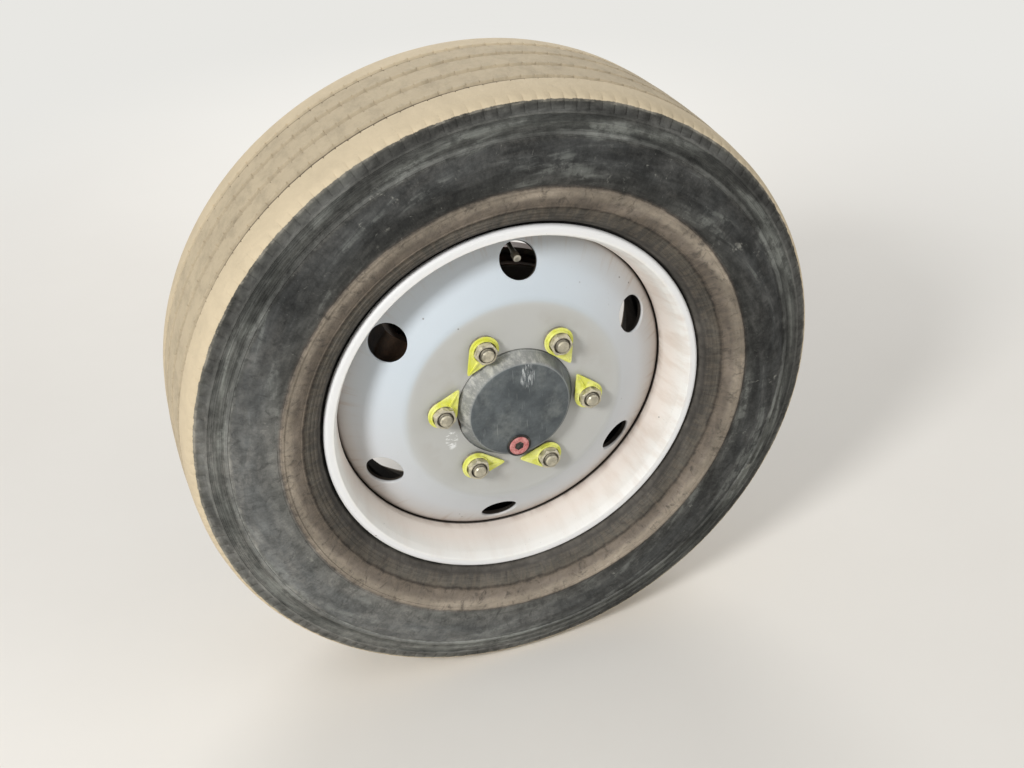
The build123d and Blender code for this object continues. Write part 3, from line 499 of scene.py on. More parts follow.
# Colours by radius in millimetres
SIDEWALL_COLOURS = (
    # The darkest stop, at 261, is painted shadow in the gap between the rim's flange and the tyre.
    (261, (32, 31, 30)),
    (265, (92, 88, 82)),
    (269, (70, 67, 63)),
    (274, (82, 79, 74)),
    (286, (88, 84, 77)),
    (289, (56, 52, 48)),
    (292, (108, 99, 89)),
    (302, (118, 109, 99)),
    (309, (146, 136, 122)),
    (315, (150, 140, 126)),
    (318, (136, 126, 113)),
    (320.5, (74, 69, 64)),
    (324, (66, 66, 63)),
    (350, (64, 65, 64)),
    (376, (66, 67, 66)),
    (379.5, (52, 53, 51)),
    (382, (96, 97, 94)),
    (386, (98, 99, 95)),
    (388, (62, 63, 60)),
    (396, (88, 89, 85)),
    (404, (70, 71, 68)),
    (407, (96, 96, 92)),
    (410, (78, 78, 75)),
    (417, (76, 76, 72)),
    (421, (108, 105, 96)),
)
RIM_COLOURS = (
    (210, (206, 198, 190)),
    (236, (234, 225, 216)),
    (242, (238, 235, 229)),
    (248, (240, 239, 235)),
    (252, (235, 235, 234)),
    (261, (236, 236, 235)),
)
# The cone is painted lighter than the plateau as painted light, and the last stops darken to painted shade
# in the crevice where the disc meets the rim.
DISC_COLOURS = (
    (78, (188, 188, 184)),
    (138, (188, 188, 184)),
    (148, (190, 191, 188)),
    (156, (201, 204, 206)),
    (186, (204, 207, 210)),
    (212, (206, 205, 204)),
    (222, (206, 200, 194)),
    (226, (196, 189, 183)),
    (229.5, (132, 122, 114)),
    (231, (48, 42, 38)),
)


def tyre_rubber():
    """Grey, stained sidewall in rings, brown towards the rim, and tan dust over the tread. The brown band is
    painted lighter at the bottom as painted light, and the ring by the rim's flange is painted dark as
    painted shadow.
    """
    paint = Paint("tyre_rubber", 0.84, 0.25)
    radius, station = paint.on_wheel()
    uneven = paint.noise(60, 4, distortion=0.8)
    fine = paint.noise(210, 4, 0.7)
    small = paint.patches(85, 0.36, 0.64, 5, 0.74, 0.4)
    round_streaks = paint.streaks((9, 170), 0.36, 0.64, 6, 0.66)
    blotches = paint.streaks((17, 62, 0, 3), 0.38, 0.62, 7, 0.7)
    clouds = paint.streaks((5.5, 22, 0, 15), 0.38, 0.62, 5, 0.6)
    spoke_streaks = paint.streaks((34, 44, 0, 4), 0.38, 0.66, 6, 0.64, 0.9)
    smears = paint.patches(1, 0.34, 0.7, 4, 0.55, 0.4, vector=paint.swirl(3.4, 34, 0.9, 31))
    brown_zone = paint.band(radius, 266, 319, 3)
    letter_zone = paint.band(radius, 322, 380, 4)
    outer_zone = paint.band(radius, 380, 424, 4)
    low_left = paint.step(paint.cosine * -0.8 - paint.sine * 0.6, 0.15, 0.95)
    lit_low_side = paint.step(paint.sine, -0.35, -0.95)

    level = 0.14 + round_streaks * 0.16 + blotches * 0.3 + small * 0.16 + clouds * 0.3
    level = (level + smears * 0.3 + (fine - 0.5) * 0.3) * (0.66 + smears * 0.66)
    level = paint.mix(brown_zone, level, 0.46 + level * 0.54)
    lighter = (letter_zone * 1.75 + outer_zone * 0.5) * (0.7 + (clouds + blotches) * 0.3)
    # The brown band is painted lighter towards the bottom of the wheel, as painted light.
    level = level + low_left * lighter + lit_low_side * brown_zone * 0.26
    rings = paint.ramp(radius + (uneven - 0.5) * 6, SIDEWALL_COLOURS)

    film = paint.streaks((4.5, 40, 0, 9), 0.36, 0.74, 6, 0.62, 0.6)
    film = film * (0.3 + small * 0.7) * (0.12 + low_left * 0.4) * (letter_zone + outer_zone)
    pale_smear = paint.step(smears, 0.62, 1) * paint.step(blotches, 0.1, 0.7)
    pale_smear = pale_smear * paint.band(radius, 326, 400, 8)
    ragged = (paint.noise(150, 5, 0.7) - 0.5) * 0.9
    splash = paint.step(paint.cells(25) + ragged, 0.2, 0.06) * paint.patches(13, 0.53, 0.58, 2)
    splash = splash * paint.band(radius, 334, 392, 6) * paint.step(small, 0.2, 0.7)
    smudges = paint.streaks((30, 75, 0, 11), 0.6, 0.68, 7, 0.74, 1.6) * blotches * letter_zone
    dark_stain = paint.streaks((24, 60, 0, 21), 0.5, 0.68, 7, 0.72, 1)
    earth = spoke_streaks * paint.band(radius, 272, 319, 3)
    rubbed_ring = paint.band(radius, 418.6, 420.4, 0.8) * paint.step(uneven, 0.46, 0.66)
    side_colour = paint.coats(
        paint.shade(rings, level),
        (film, (160, 157, 150)),
        (pale_smear * 0.26, (150, 153, 146)),
        (splash * 0.55, (160, 159, 150)),
        (smudges * 0.5, (146, 146, 138)),
        (dark_stain * brown_zone * 0.68, (62, 58, 54)),
        (dark_stain * letter_zone * 0.45, (38, 39, 38)),
        (earth * 0.14, (160, 144, 124)),
        (rubbed_ring * 0.34, (178, 172, 158)),
    )

    off_middle = paint.math("ABSOLUTE", station)
    middle = paint.step(off_middle, 70, 62)
    rubbed = paint.streaks((16, 0, 26, 2), 0.42, 0.7, 7, 0.74)
    grooved = paint.step(off_middle, 72, 70)
    tread_colour = paint.coats(
        paint.shade(DUST, 0.86 + paint.noise(26, 6, 0.7) * 0.26),
        (middle * 0.26 + rubbed * (0.08 + middle * 0.17), (126, 116, 99)),
        (paint.step(radius, TYRE_R - 4.6, TYRE_R - 6) * grooved * 0.85, (84, 76, 64)),
        (paint.step(radius, TYRE_R - 8, TYRE_R - 10.5) * grooved * 0.9, (42, 39, 36)),
    )
    tread_edge = paint.noise(70, 6, 0.75) * 5 + (SHOULDER_R - 3)

    grime = smears * 0.4 + blotches * 0.2 + round_streaks * 0.4
    inner_colour = paint.coats(
        paint.mix(grime, (68, 66, 62), (102, 97, 87)),
        (paint.band(radius, 262, 300, 20) * 0.5, (116, 106, 90)),
    )
    inner_side = paint.step(station, 60, 20) * paint.step(radius, SHOULDER_R + 0.5, SHOULDER_R - 0.5)

    colour = paint.coats(
        side_colour,
        (paint.step(radius, tread_edge, tread_edge + 0.7), tread_colour),
        (inner_side, inner_colour),
    )
    letter_ribs = paint.math("SINE", paint.angle * 420) * paint.band(radius, 327, 374, 1)
    fine_rings = paint.math("SINE", radius * (2 * math.pi / 2.4)) * paint.band(radius, 387, 405, 1)
    return paint.done(colour, (fine, 0.6), (uneven, 1.6), (letter_ribs, 0.08), (fine_rings, 0.14))


# Very dark brake dust, which also stands in as painted shade inside the wheel.
def brake_dust_and_shade(paint, dirt):
    return paint.mix(paint.step(dirt, 0.4, 0.66), (28, 26, 24), (58, 53, 47))


def rim_enamel(paint, cloud, dirt):
    """The rim's colour and dirt: brown runs in the gutter, a dark line of painted shade at the joint with
    the disc, and behind the disc dark brake dust that is also painted shade.
    """
    radius, station = paint.radius, paint.station
    gutter = paint.step(radius, 254, 246) * paint.step(station, 10, 24)
    right_side = paint.step(paint.cosine, 0.2, 1)
    runs = paint.streaks((12, 0, 16), 0.4, 0.7, 5, 0.62)
    thin_runs = paint.streaks((110, 0, 12, 7), 0.6, 0.74)
    inward = paint.step(radius, 252, 240)
    # Behind the disc the rim gets dark brake dust, which is also painted shade inside the wheel.
    behind = paint.step(station, 42.6, 40.6)
    outside = paint.mix(dirt, (116, 106, 92), (168, 158, 142))
    back_dirt_and_shade = paint.mix(paint.step(station, -88, -100), brake_dust_and_shade(paint, dirt), outside)
    colour = paint.coats(
        paint.shade(paint.ramp(radius, RIM_COLOURS), 0.94 + cloud * 0.1),
        (runs * gutter * (0.12 + right_side * 0.26), (204, 184, 166)),
        (thin_runs * gutter * 0.05, (180, 160, 142)),
        (paint.step(station, 58, 42) * inward * (0.1 + runs * 0.5), (150, 132, 120)),
        # Painted shade: a dark line in the crevice where the disc's edge meets the rim.
        (paint.step(station, 44.6, 43.4) * inward * 0.9, (44, 38, 34)),
        (behind, back_dirt_and_shade),
        (paint.spots(60, 0.1) * paint.step(radius, 255, 257) * 0.7, (120, 112, 104)),
    )
    return colour, behind


def disc_enamel(paint, cloud, dirt):
    """The disc's colour and dirt: grey plateau, a cone painted lighter as painted light, a painted bluish
    reflection on the upper cone, runs towards the rim, a white scuff, and dark brake dust on its back with
    painted shade in its vents.
    """
    radius, station = paint.radius, paint.station
    x, _, z = paint.split(paint.place)
    # Painted reflection: a bluish sheen on the upper cone.
    sky_reflection = paint.step(paint.sine - paint.cosine * 0.35, -0.1, 0.9) * paint.band(radius, 152, 222, 8)
    handled = paint.patches(14, 0.52, 0.68, 5) * paint.step(radius, 150, 120)
    scuff = paint.step(paint.oval((-0.0905, -0.0365), (0.0085, 0.015)) + cloud - 0.5, 1.1, 0.4)
    scuff = scuff * paint.patches(190, 0.51, 0.58, 3, 0.6, vector=paint.join(x * 0.5, 0, z * 1.6))
    low_runs = paint.streaks((26, 9), 0.5, 0.7, 5, 0.66) * paint.step(radius, 196, 226)
    # Walls of the vents deeper than the cone's face are darkened as painted shade inside the holes.
    depth = (CONE_W + CONE_SLOPE * CONE_R) - radius * CONE_SLOPE - station
    vent_shade = paint.step(depth, 3.5, 6) * paint.band(radius, 168, 224, 1)
    # Dark brake dust on the disc's back, and painted shade on the vents' walls.
    dust_and_shade = paint.larger(paint.step(paint.facing(1), 0.05, 0.3), vent_shade)
    colour = paint.coats(
        paint.shade(paint.ramp(radius, DISC_COLOURS), 0.94 + cloud * 0.1),
        (sky_reflection * 0.5, (190, 205, 216)),
        (handled * 0.3, (166, 160, 150)),
        (scuff * 0.8, (240, 241, 240)),
        (low_runs * 0.5, (178, 160, 144)),
        (dust_and_shade, brake_dust_and_shade(paint, dirt)),
    )
    return colour, dust_and_shade


def wheel_paint(name, enamel):
    """Silver-grey enamel of rim or disc, with dark brake dust inside that is also painted shade, grain and
    dark specks.
    """
    paint = Paint(name)
    paint.on_wheel()
    cloud = paint.noise(5.5, 4, 0.6)
    grain = paint.noise(90, 4, 0.7)
    colour, dust_and_shade = enamel(paint, cloud, paint.noise(9, 6, 0.7))
    colour = paint.coats(
        colour,
        (paint.spots(46, 0.07) * paint.patches(11, 0.5, 0.56, 2) * 0.75, (110, 106, 100)),
        (paint.spots(150, 0.1) * paint.step(cloud, 0.46, 0.6) * 0.35, (150, 146, 138)),
    )
    return paint.done(
        colour, (grain, 0.12), (cloud, 0.6),
        roughness=0.34 + dust_and_shade * 0.5 + grain * 0.22, specular_ior_level=0.45 - dust_and_shade * 0.38,
    )


def slate_cap():
    """Slate-grey hub cap, dusty, its wall rubbed and painted pale on the upper left as painted light, a
    painted highlight along its edge, painted shade at its foot, and a patch of bright scratches.
    """
    paint = Paint("slate_cap")
    radius, station = paint.on_wheel()
    x, _, z = paint.split(paint.place)
    cloud = paint.noise(24, 6, 0.68)
    fine = paint.noise(180, 4, 0.7)
    base = paint.mix(paint.step(cloud, 0.35, 0.68), (60, 66, 69), (90, 96, 98))
    # Painted light: the cap's wall is painted pale on its upper left, as if lit there, streaked by rubbing.
    lit_upper_left = paint.step(paint.sine * 0.8 - paint.cosine * 0.7, -0.3, 0.9)
    wall = paint.step(radius, 68, 70.5) * (0.1 + lit_upper_left * 0.8)
    rubbed = 0.4 + paint.streaks((7, 0, 60), 0.42, 0.66, 6, 0.7) * 0.6
    upright = paint.join(x * 2.4, 0, z * 0.14 + x * 0.2)
    scratched = paint.step(paint.oval((0.011, 0.05), (0.0115, 0.019)) + (cloud - 0.5) * 2, 1.1, 0.5)
    scratched = scratched * paint.step(station, 109, 110)
    # A pale line along the face's edge: painted highlight, with some dust.
    edge = paint.band(radius, 68.4, 69.4, 0.6)
    colour = paint.coats(
        paint.shade(base, 0.9 + fine * 0.22),
        (paint.patches(15, 0.48, 0.66, 6, 0.7) * 0.42, (134, 138, 134)),
        (rubbed * wall, (192, 191, 184)),
        (paint.patches(400, 0.52, 0.6, 3, 0.6, vector=upright) * scratched * 0.85, (206, 209, 208)),
        (paint.patches(260, 0.68, 0.72, 2, 0.4, vector=upright) * 0.35, (160, 163, 160)),
        (edge * (0.15 + fine * 0.5), (158, 161, 158)),
        # Painted shade where the cap's foot meets the disc.
        (paint.step(station, CAP_SEAT_W + 3, CAP_SEAT_W + 0.5) * 0.7, (50, 48, 45)),
    )
    return paint.done(colour, (fine, 0.25), (cloud, 0.9), roughness=0.36 + cloud * 0.3)


def stud_coats(paint, patch):
    """Coats of studs and nuts: paler stud ends, and painted shade in the gaps round them, in the roots of
    the thread and at the collars' feet.
    """
    radius, station = paint.on_wheel()
    off = paint.math("PINGPONG", paint.angle - math.radians(STUD_PHASE), math.pi / STUD_COUNT)
    along = radius * paint.math("COSINE", off) - STUD_CIRCLE
    away = paint.length(radius * paint.math("SINE", off), along)
    _, collar_w, top_w = NUT_W
    end = paint.step(station, STUD_TIP_W - 1.2, STUD_TIP_W - 0.4) * paint.step(away, 8, 7)
    # Painted shade: dark in the gaps round the studs, in the thread's roots and at the collars' feet.
    gap_shade = paint.band(away, 8.9, 10.9, 0.7) * paint.step(station, top_w - 2.6, top_w - 1.8)
    thread = paint.step(away, 8.7, 8.1) * paint.band(station, top_w, STUD_TIP_W - 1.8, 0.2)
    foot = paint.step(station, collar_w + 3.5, collar_w + 0.5) * 0.6
    dark = paint.larger(paint.larger(gap_shade, thread), foot)
    return (
        (end * 0.55, paint.mix(patch, (126, 119, 104), (200, 193, 172))),
        (dark * 0.85, (58, 52, 46)),
    )


def zinc(name, tints, dusted_from, rust, roughness, more_coats=None):
    """Dull zinc under a film of dust, with rust at its worst places.

    tints: dark and pale metal and the dust. rust: its share and colour.
    """
    paint = Paint(name)
    patch = paint.noise(120, 5, 0.65)
    fine = paint.noise(600, 3)
    dusted = paint.step(patch, dusted_from, dusted_from + 0.22)
    dark, pale, dust = tints
    share, rust_tint = rust
    rusted = paint.patches(75, 0.6, 0.7, 5, 0.7)
    colour = paint.coats(paint.mix(fine, dark, pale), (dusted, dust), (rusted * share, rust_tint))
    if more_coats:
        colour = paint.coats(colour, *more_coats(paint, patch))
    return paint.done(
        colour, (fine, 0.12), (patch, 0.3), metallic=(1 - dusted) * 0.6, roughness=roughness + dusted * 0.34,
    )


def pointer_yellow():
    """Fluorescent yellow plastic, greyed by dust."""
    paint = Paint("pointer_yellow", 0.48, 0.4)
    patch = paint.noise(60, 5, 0.65)
    colour = paint.coats(
        paint.mix(paint.step(patch, 0.34, 0.66), (214, 216, 78), (236, 236, 146)),
        (paint.patches(95, 0.56, 0.72, 5, 0.7) * 0.7, (206, 200, 150)),
        (paint.patches(45, 0.6, 0.72) * 0.4, (160, 158, 84)),
    )
    return paint.done(colour, (paint.noise(500, 3), 0.08), (patch, 0.3))


def plug_red():
    """Faded red plastic filler plug."""
    paint = Paint("plug_red", 0.42)
    patch = paint.noise(150, 5, 0.65)
    colour = paint.coats(
        paint.mix(paint.step(patch, 0.34, 0.66), (170, 90, 88), (212, 146, 141)),
        (paint.patches(260, 0.56, 0.66, 3) * 0.4, (232, 176, 168)),
    )
    return paint.done(colour, (patch, 0.2))


def dusty_black(name, roughness, specular, scale, tints, depth, grain=None):
    """Black rubber or plastic with pale dust in patches of this scale. Depth and grain are its relief."""
    paint = Paint(name, roughness, specular)
    patch = paint.noise(scale, 5, 0.7)
    colour = paint.mix(paint.step(patch, 0.45, 0.75), *tints)
    layers = [(paint.noise(900, 2), grain)] if grain else []
    return paint.done(colour, *layers, (patch, depth))


def chassis_black():
    """Satin black paint over forgings, with road dust on what faces up and rust at chips."""
    paint = Paint("chassis_black", 0.5, 0.45)
    cast = paint.noise(230, 5, 0.7)
    patch = paint.noise(18, 6, 0.68)
    middling = paint.noise(75, 5, 0.7)
    film = paint.step(paint.facing(2) * 0.14 + patch * 0.55 + middling * 0.45, 0.3, 0.74)
    chips = paint.patches(48, 0.6, 0.66, 6, 0.72) * paint.step(patch, 0.36, 0.55)
    colour = paint.coats(
        paint.mix(cast, (60, 58, 55), (86, 82, 76)),
        (film * 0.85, (158, 144, 120)),
        (chips * 0.85, (112, 68, 44)),
    )
    return paint.done(colour, (cast, 0.45), (patch, 0.8), roughness=0.42 + film * 0.4)


def rusty_casting():
    """Bare cast iron with a thin brown rust skin and dust, its browns kept dark, partly as painted shade
    where it shows through the vents.
    """
    paint = Paint("rusty_casting", 0.78, 0.3)
    cast = paint.noise(260, 5, 0.72)
    patch = paint.noise(22, 6, 0.7)
    base = paint.mix(paint.step(patch, 0.36, 0.66), (60, 53, 48), (98, 78, 62))
    colour = paint.coats(
        paint.shade(base, 0.76 + cast * 0.46),
        (paint.patches(60, 0.56, 0.68, 6, 0.75) * 0.5, (116, 78, 52)),
        (paint.patches(9, 0.5, 0.74, 5) * 0.4, (116, 104, 86)),
    )
    return paint.done(colour, (cast, 0.6), (patch, 1))


def turned_rotor():
    """Brake disc: faces turned bright by the pads with fine rings, everything else brown with rust, kept
    dark, partly as painted shade where it shows through the vents.
    """
    paint = Paint("turned_rotor")
    radius, station = paint.on_wheel()
    on_face = paint.step(station, 3.2, 3.8) + paint.step(station, -29.2, -29.8)
    swept = paint.step(paint.math("ABSOLUTE", paint.facing(1)), 0.9, 0.98) * paint.band(radius, 98, 157, 1.5)
    swept = swept * paint.math("MINIMUM", on_face, 1)
    lines = paint.noise(1, 4, 0.7, vector=paint.polar(1.5, 2600))
    rust_noise = paint.noise(40, 6, 0.72)
    rust = paint.mix(paint.step(rust_noise, 0.36, 0.66), (56, 45, 38), (98, 72, 54))
    steel = paint.mix(lines, (122, 118, 112), (176, 172, 166))
    return paint.done(
        paint.mix(swept, rust, steel), (lines, 0.1), (rust_noise, 0.5),
        metallic=swept * 0.85, roughness=0.8 - swept * 0.42,
    )


def greased_steel():
    """Machined steel under a film of old grease and dust."""
    paint = Paint("greased_steel")
    patch = paint.noise(34, 6, 0.68)
    fine = paint.noise(420, 3)
    film = paint.step(patch, 0.42, 0.66)
    metal = paint.mix(fine, (150, 148, 144), (182, 179, 173))
    return paint.done(
        paint.mix(film * 0.8, metal, (104, 92, 74)), (fine, 0.08), (patch, 0.25),
        metallic=0.88 - film * 0.75, roughness=0.3 + film * 0.3,
    )


def shield_coat():
    """Thin pressed steel with a dark coating, dusty and rusting at its edge."""
    paint = Paint("shield_coat", 0.55)
    radius, _ = paint.on_wheel()
    patch = paint.noise(20, 6, 0.7)
    fine = paint.noise(300, 3)
    middling = paint.noise(80, 5, 0.7)
    colour = paint.coats(
        paint.mix(fine, (86, 83, 78), (112, 107, 99)),
        (paint.step(patch * 0.5 + middling * 0.5, 0.34, 0.72) * 0.75, (160, 147, 124)),
        (paint.step(radius + patch * 14, 174, 181) * 0.8, (124, 78, 50)),
    )
    return paint.done(colour, (fine, 0.12), (patch, 0.5))


def friction_lining():
    """Brake lining: dark pressed compound with bright flecks."""
    paint = Paint("friction_lining", 0.85, 0.25)
    fine = paint.noise(500, 3)
    colour = paint.coats(
        paint.mix(fine, (58, 52, 46), (96, 84, 72)),
        (paint.spots(700, 0.22) * 0.6, (160, 150, 132)),
    )
    return paint.done(colour, (fine, 0.25))


def valve_metal():
    """Plated brass valve, dull and dusty, its tip painted pale as a glint."""
    paint = Paint("valve_metal", 0.36)
    _, station = paint.on_wheel()
    patch = paint.noise(200, 5, 0.65)
    film = paint.step(patch, 0.46, 0.66)
    # Painted highlight: the tip is pale, as a glint.
    tip = paint.step(station, 59, 59.6)
    colour = paint.coats(
        paint.mix(patch, (92, 86, 74), (120, 113, 98)),
        (film * 0.8, (66, 60, 52)),
        (tip, (196, 190, 174)),
    )
    return paint.done(colour, (patch, 0.15), metallic=(0.6 - film * 0.5) * (1 - tip))


def background_rays(nodes, links):
    """1 for rays that show the background itself: from the camera, a reflection or a clear body."""
    path = nodes.new("ShaderNodeLightPath")
    shown = path.outputs["Is Camera Ray"]
    for name in ("Is Glossy Ray", "Is Transmission Ray"):
        either = nodes.new("ShaderNodeMath")
        either.operation = "MAXIMUM"
        links.new(shown, either.inputs[0])
        links.new(path.outputs[name], either.inputs[1])
        shown = either.outputs[0]
    return shown


def floor_coat():
    """Pale plain floor with a trace of unevenness, running into the background's colour far out."""
    paint = Paint("floor_coat", 0.9, 0.2)
    paint.set(base_color=paint.mix(paint.noise(1.3, 5, 0.6), (222, 218, 211), (232, 229, 223)))
    x, y, _ = paint.split(paint.place)
    shown = Value(paint, background_rays(paint.nodes, paint.links))
    glow = paint.nodes.new("ShaderNodeEmission")
    paint.feed(glow.inputs["Color"], BACKGROUND)
    blend = paint.nodes.new("ShaderNodeMixShader")
    paint.feed(blend.inputs[0], paint.step(paint.length(x, y), *FLOOR_FADE) * shown)
    paint.links.new(paint.shader.outputs[0], blend.inputs[1])
    paint.links.new(glow.outputs[0], blend.inputs[2])
    paint.links.new(blend.outputs[0], paint.nodes["Material Output"].inputs["Surface"])
    return paint.material


RUBBER = tyre_rubber()
RIM_PAINT = wheel_paint("rim_paint", rim_enamel)
DISC_PAINT = wheel_paint("disc_paint", disc_enamel)
CAP_PAINT = slate_cap()
WHEEL_ZINC = zinc(
    "wheel_zinc", ((142, 137, 122), (206, 200, 180), (208, 199, 172)),
    0.4, (0.4, (132, 102, 70)), 0.34, stud_coats,
)
BOLT_ZINC = zinc(
    "bolt_zinc", ((104, 99, 92), (140, 133, 122), (122, 111, 94)),
    0.38, (0.55, (126, 94, 66)), 0.36,
)
YELLOW = pointer_yellow()
RED = plug_red()
SEAL = dusty_black("seal_black", 0.66, 0.35, 90, ((34, 33, 32), (92, 86, 76)), 0.25)
PLASTIC = dusty_black("black_plastic", 0.5, 0.4, 70, ((36, 36, 37), (84, 80, 72)), 0.2, grain=0.1)
CHASSIS = chassis_black()
CASTING = rusty_casting()
ROTOR = turned_rotor()
STEEL = greased_steel()
SHIELD = shield_coat()
LINING = friction_lining()
VALVE_METAL = valve_metal()


# Camera, floor and lights

def aim(obj, place, target, roll=0):
    """Puts a camera or lamp at a place, looking at the target."""
    turn = (target - place).to_track_quat("-Z", "Y").to_matrix().to_4x4()
    obj.matrix_world = Matrix.Translation(place) @ turn @ Matrix.Rotation(roll, 4, "Z")


def make_camera():
    data = bpy.data.cameras.new("camera")
    data.lens = CAMERA_LENS
    data.sensor_width = CAMERA_SENSOR
    data.sensor_fit = "HORIZONTAL"
    data.clip_start = 0.02
    camera = new_object("camera", data)
    aim(camera, CAMERA_PLACE, CAMERA_AIM, CAMERA_ROLL)
    bpy.context.scene.camera = camera


def make_floor():
    mesh = bpy.data.meshes.new("floor")
    half = FLOOR_SIZE / 2
    level = WHEEL_CENTRE.z - TYRE_R * MM
    corners = [(-half, -half, level), (half, -half, level), (half, half, level), (-half, half, level)]
    mesh.from_pydata(corners, [], [(0, 1, 2, 3)])
    floor = new_object("floor", mesh)
    mesh.materials.append(floor_coat())


def make_world():
    """Even light from all round, which shows as the pale background."""
    world = bpy.data.worlds.new("studio")
    world.use_nodes = True
    bpy.context.scene.world = world
    nodes, links = world.node_tree.nodes, world.node_tree.links
    colour = nodes.new("ShaderNodeMix")
    colour.data_type = "RGBA"
    links.new(background_rays(nodes, links), colour.inputs[0])
    colour.inputs[6].default_value = (WORLD_LEVEL, WORLD_LEVEL, WORLD_LEVEL, 1)
    colour.inputs[7].default_value = srgb(*BACKGROUND)
    links.new(colour.outputs[2], nodes["Background"].inputs["Color"])
    nodes["Background"].inputs["Strength"].default_value = 1


def make_lights():
    for name, place, size, watts in LIGHTS:
        data = bpy.data.lights.new(name, "AREA")
        data.shape = "DISK"
        data.size = size
        data.energy = watts
        light = new_object(name, data)
        light.visible_camera = False
        aim(light, Vector(place), WHEEL_CENTRE)


# Tyre

# Half of the outline from bead to shoulder: station, radius, corner rounding
TYRE_ROWS = (
    (66, 240.4, 2),
    (94.9, 248.1, 4),
    (94.9, 256.4, 0),
    (96.9, 262.4, 4),
    (110, 268.4, 12),
    (128, 310, 40),
    (131, 356, 60),
    (118, 405, 30),
    (SHOULDER_W, SHOULDER_R, 0),
)
# The cavity: station, radius
TYRE_INSIDE = ((-72, 266), (-107, 302), (-96, 407), (96, 407), (107, 302), (72, 266))
# Raised rings on the sidewall: radius, width, height
SIDEWALL_RINGS = (
    (272.5, 2.2, 0.7),
    (277.5, 2.2, 0.7),
    (282.5, 2.2, 0.7),
    (291, 2, 0.8),
    (317.5, 3.6, 1.4),
    (384, 3.6, 1.3),
    (396, 1.8, 0.8),
    (406.5, 2.4, 1),
)
RING_SLOPE = 0.6
# Relief starts outside this station and radius
RELIEF_W = 97.65
RELIEF_R = FLANGE_R + 3
# Raised bands between the bare lettering zones: start and end angle
BANDS = ((-8, 112), (172, 292))
BAND_R = (324, 379)
BAND_HEIGHT = 0.9
BAND_SLANT = 5
BAND_EDGE = 0.8
# Radii of the short cuts below the shoulder
TICK_R = (408.5, 410, 418, 419.5)
# The crown stays this far inside the CAD's, is round up to this station and falls by this height there
TREAD_INSET = 0.2
CROWN_W = SHOULDER_W - 18
CROWN_DROP = 4
# Wall of a groove: distance from its edge, depth below the tread, kind of row
GROOVE_ROWS = (
    (SIPE_REACH, 0, "rib"),
    (SIPE_REACH - 1, 0, "sipe"),
    (0.7, 0, "sipe"),
    (0, 0.7, "sipe"),
    (-1.2, TREAD_DEPTH - 1.4, "wall"),
    (-2.4, TREAD_DEPTH, "floor"),
)
# Depth of the cut columns, by kind of row
CUT_DEPTHS = {"shoulder": TICK_DEPTH, "sipe": SIPE_DEPTH}
# How far the groove's walls swing sideways along the columns, and the share of it by kind of row
ZIGZAG = (-0.5, 0, 0.5, 0)
SWING = {"sipe": 1, "wall": 1, "floor": 0.4}


def crossing(points, radii):
    """The outline with points added where it crosses these radii."""
    result = []
    for here, there in zip(points, points[1:]):
        result.append(here)
        low, high = sorted((here.y, there.y))
        inside = [r for r in radii if low + 0.05 < r < high - 0.05]
        for radius in sorted(inside, reverse=here.y > there.y):
            result.append(here.lerp(there, (radius - here.y) / (there.y - here.y)))
    result.append(points[-1])
    return result


def ring_height(radius):
    """Height of the raised rings at this radius."""
    for middle, width, height in SIDEWALL_RINGS:
        reach = abs(radius - middle) - width / 2
        if reach < RING_SLOPE:
            return height * min(1, 1 - reach / RING_SLOPE)
    return 0


def band_height(radius, angle):
    """Height of the raised bands, their ends cut at a slant."""
    low, high = BAND_R
    if not low <= radius <= high:
        return 0
    slant = BAND_SLANT * (radius - low) / (high - low)
    for start, end in BANDS:
        turn = (angle - start) % 360
        length = end - start
        rise = min(turn - slant, length - slant - turn)
        if 0 <= turn <= length and rise > 0:
            return BAND_HEIGHT * min(1, rise / BAND_EDGE)
    return 0


def tread_rows():
    """Outline over the tread from the outer shoulder to the crown's middle, with a kind for each row."""

    def crown(station):
        return TYRE_R - TREAD_INSET - CROWN_DROP * min(abs(station) / CROWN_W, 1) ** 2

    rows = [
        (SHOULDER_W, SHOULDER_R, "shoulder"),
        (SHOULDER_W - 1, SHOULDER_R + 1.6, "shoulder"),
        (SHOULDER_W - 8, SHOULDER_R + 5.4, "rib"),
        (CROWN_W, crown(CROWN_W), "rib"),
        (CROWN_W - 12, crown(CROWN_W - 12), "rib"),
    ]
    for middle in GROOVES:
        for side in (1, -1):
            edge = middle + side * GROOVE_WIDTH / 2
            wall = [(edge + side * off, crown(edge) - depth, kind) for off, depth, kind in GROOVE_ROWS]
            rows += wall if side > 0 else wall[::-1]
    return rows + [(0, crown(0), "rib")]


def tyre_rows():
    """The whole outline: station, radius, kind of row and the direction in which its relief rises."""
    radii = [BAND_R[0] - 1, *BAND_R, BAND_R[1] + 1, *TICK_R]
    for middle, width, _ in SIDEWALL_RINGS:
        for side in (-1, 1):
            radii += [middle + side * width / 2, middle + side * (width / 2 + RING_SLOPE)]
    outer = crossing(rounded(TYRE_ROWS, closed=False, turn_step=8), radii)[:-1]
    rows = []
    for i, point in enumerate(outer):
        along = (outer[min(i + 1, len(outer) - 1)] - outer[max(i - 1, 0)]).normalized()
        kind = "side" if point.y > RELIEF_R and point.x > RELIEF_W else "bead"
        rows.append((point.x, point.y, kind, (along.y, -along.x)))
    half = tread_rows()
    rows += [(w, r, kind, (0, 1)) for w, r, kind in half]
    rows += [(-w, r, kind, (0, 1)) for w, r, kind in half[-2::-1]]
    inner = rounded(TYRE_ROWS, closed=False, turn_step=20)[:-1]
    rest = [(-point.x, point.y) for point in inner[::-1]] + list(TYRE_INSIDE)
    return rows + [(w, r, "plain", (0, 0)) for w, r in rest]


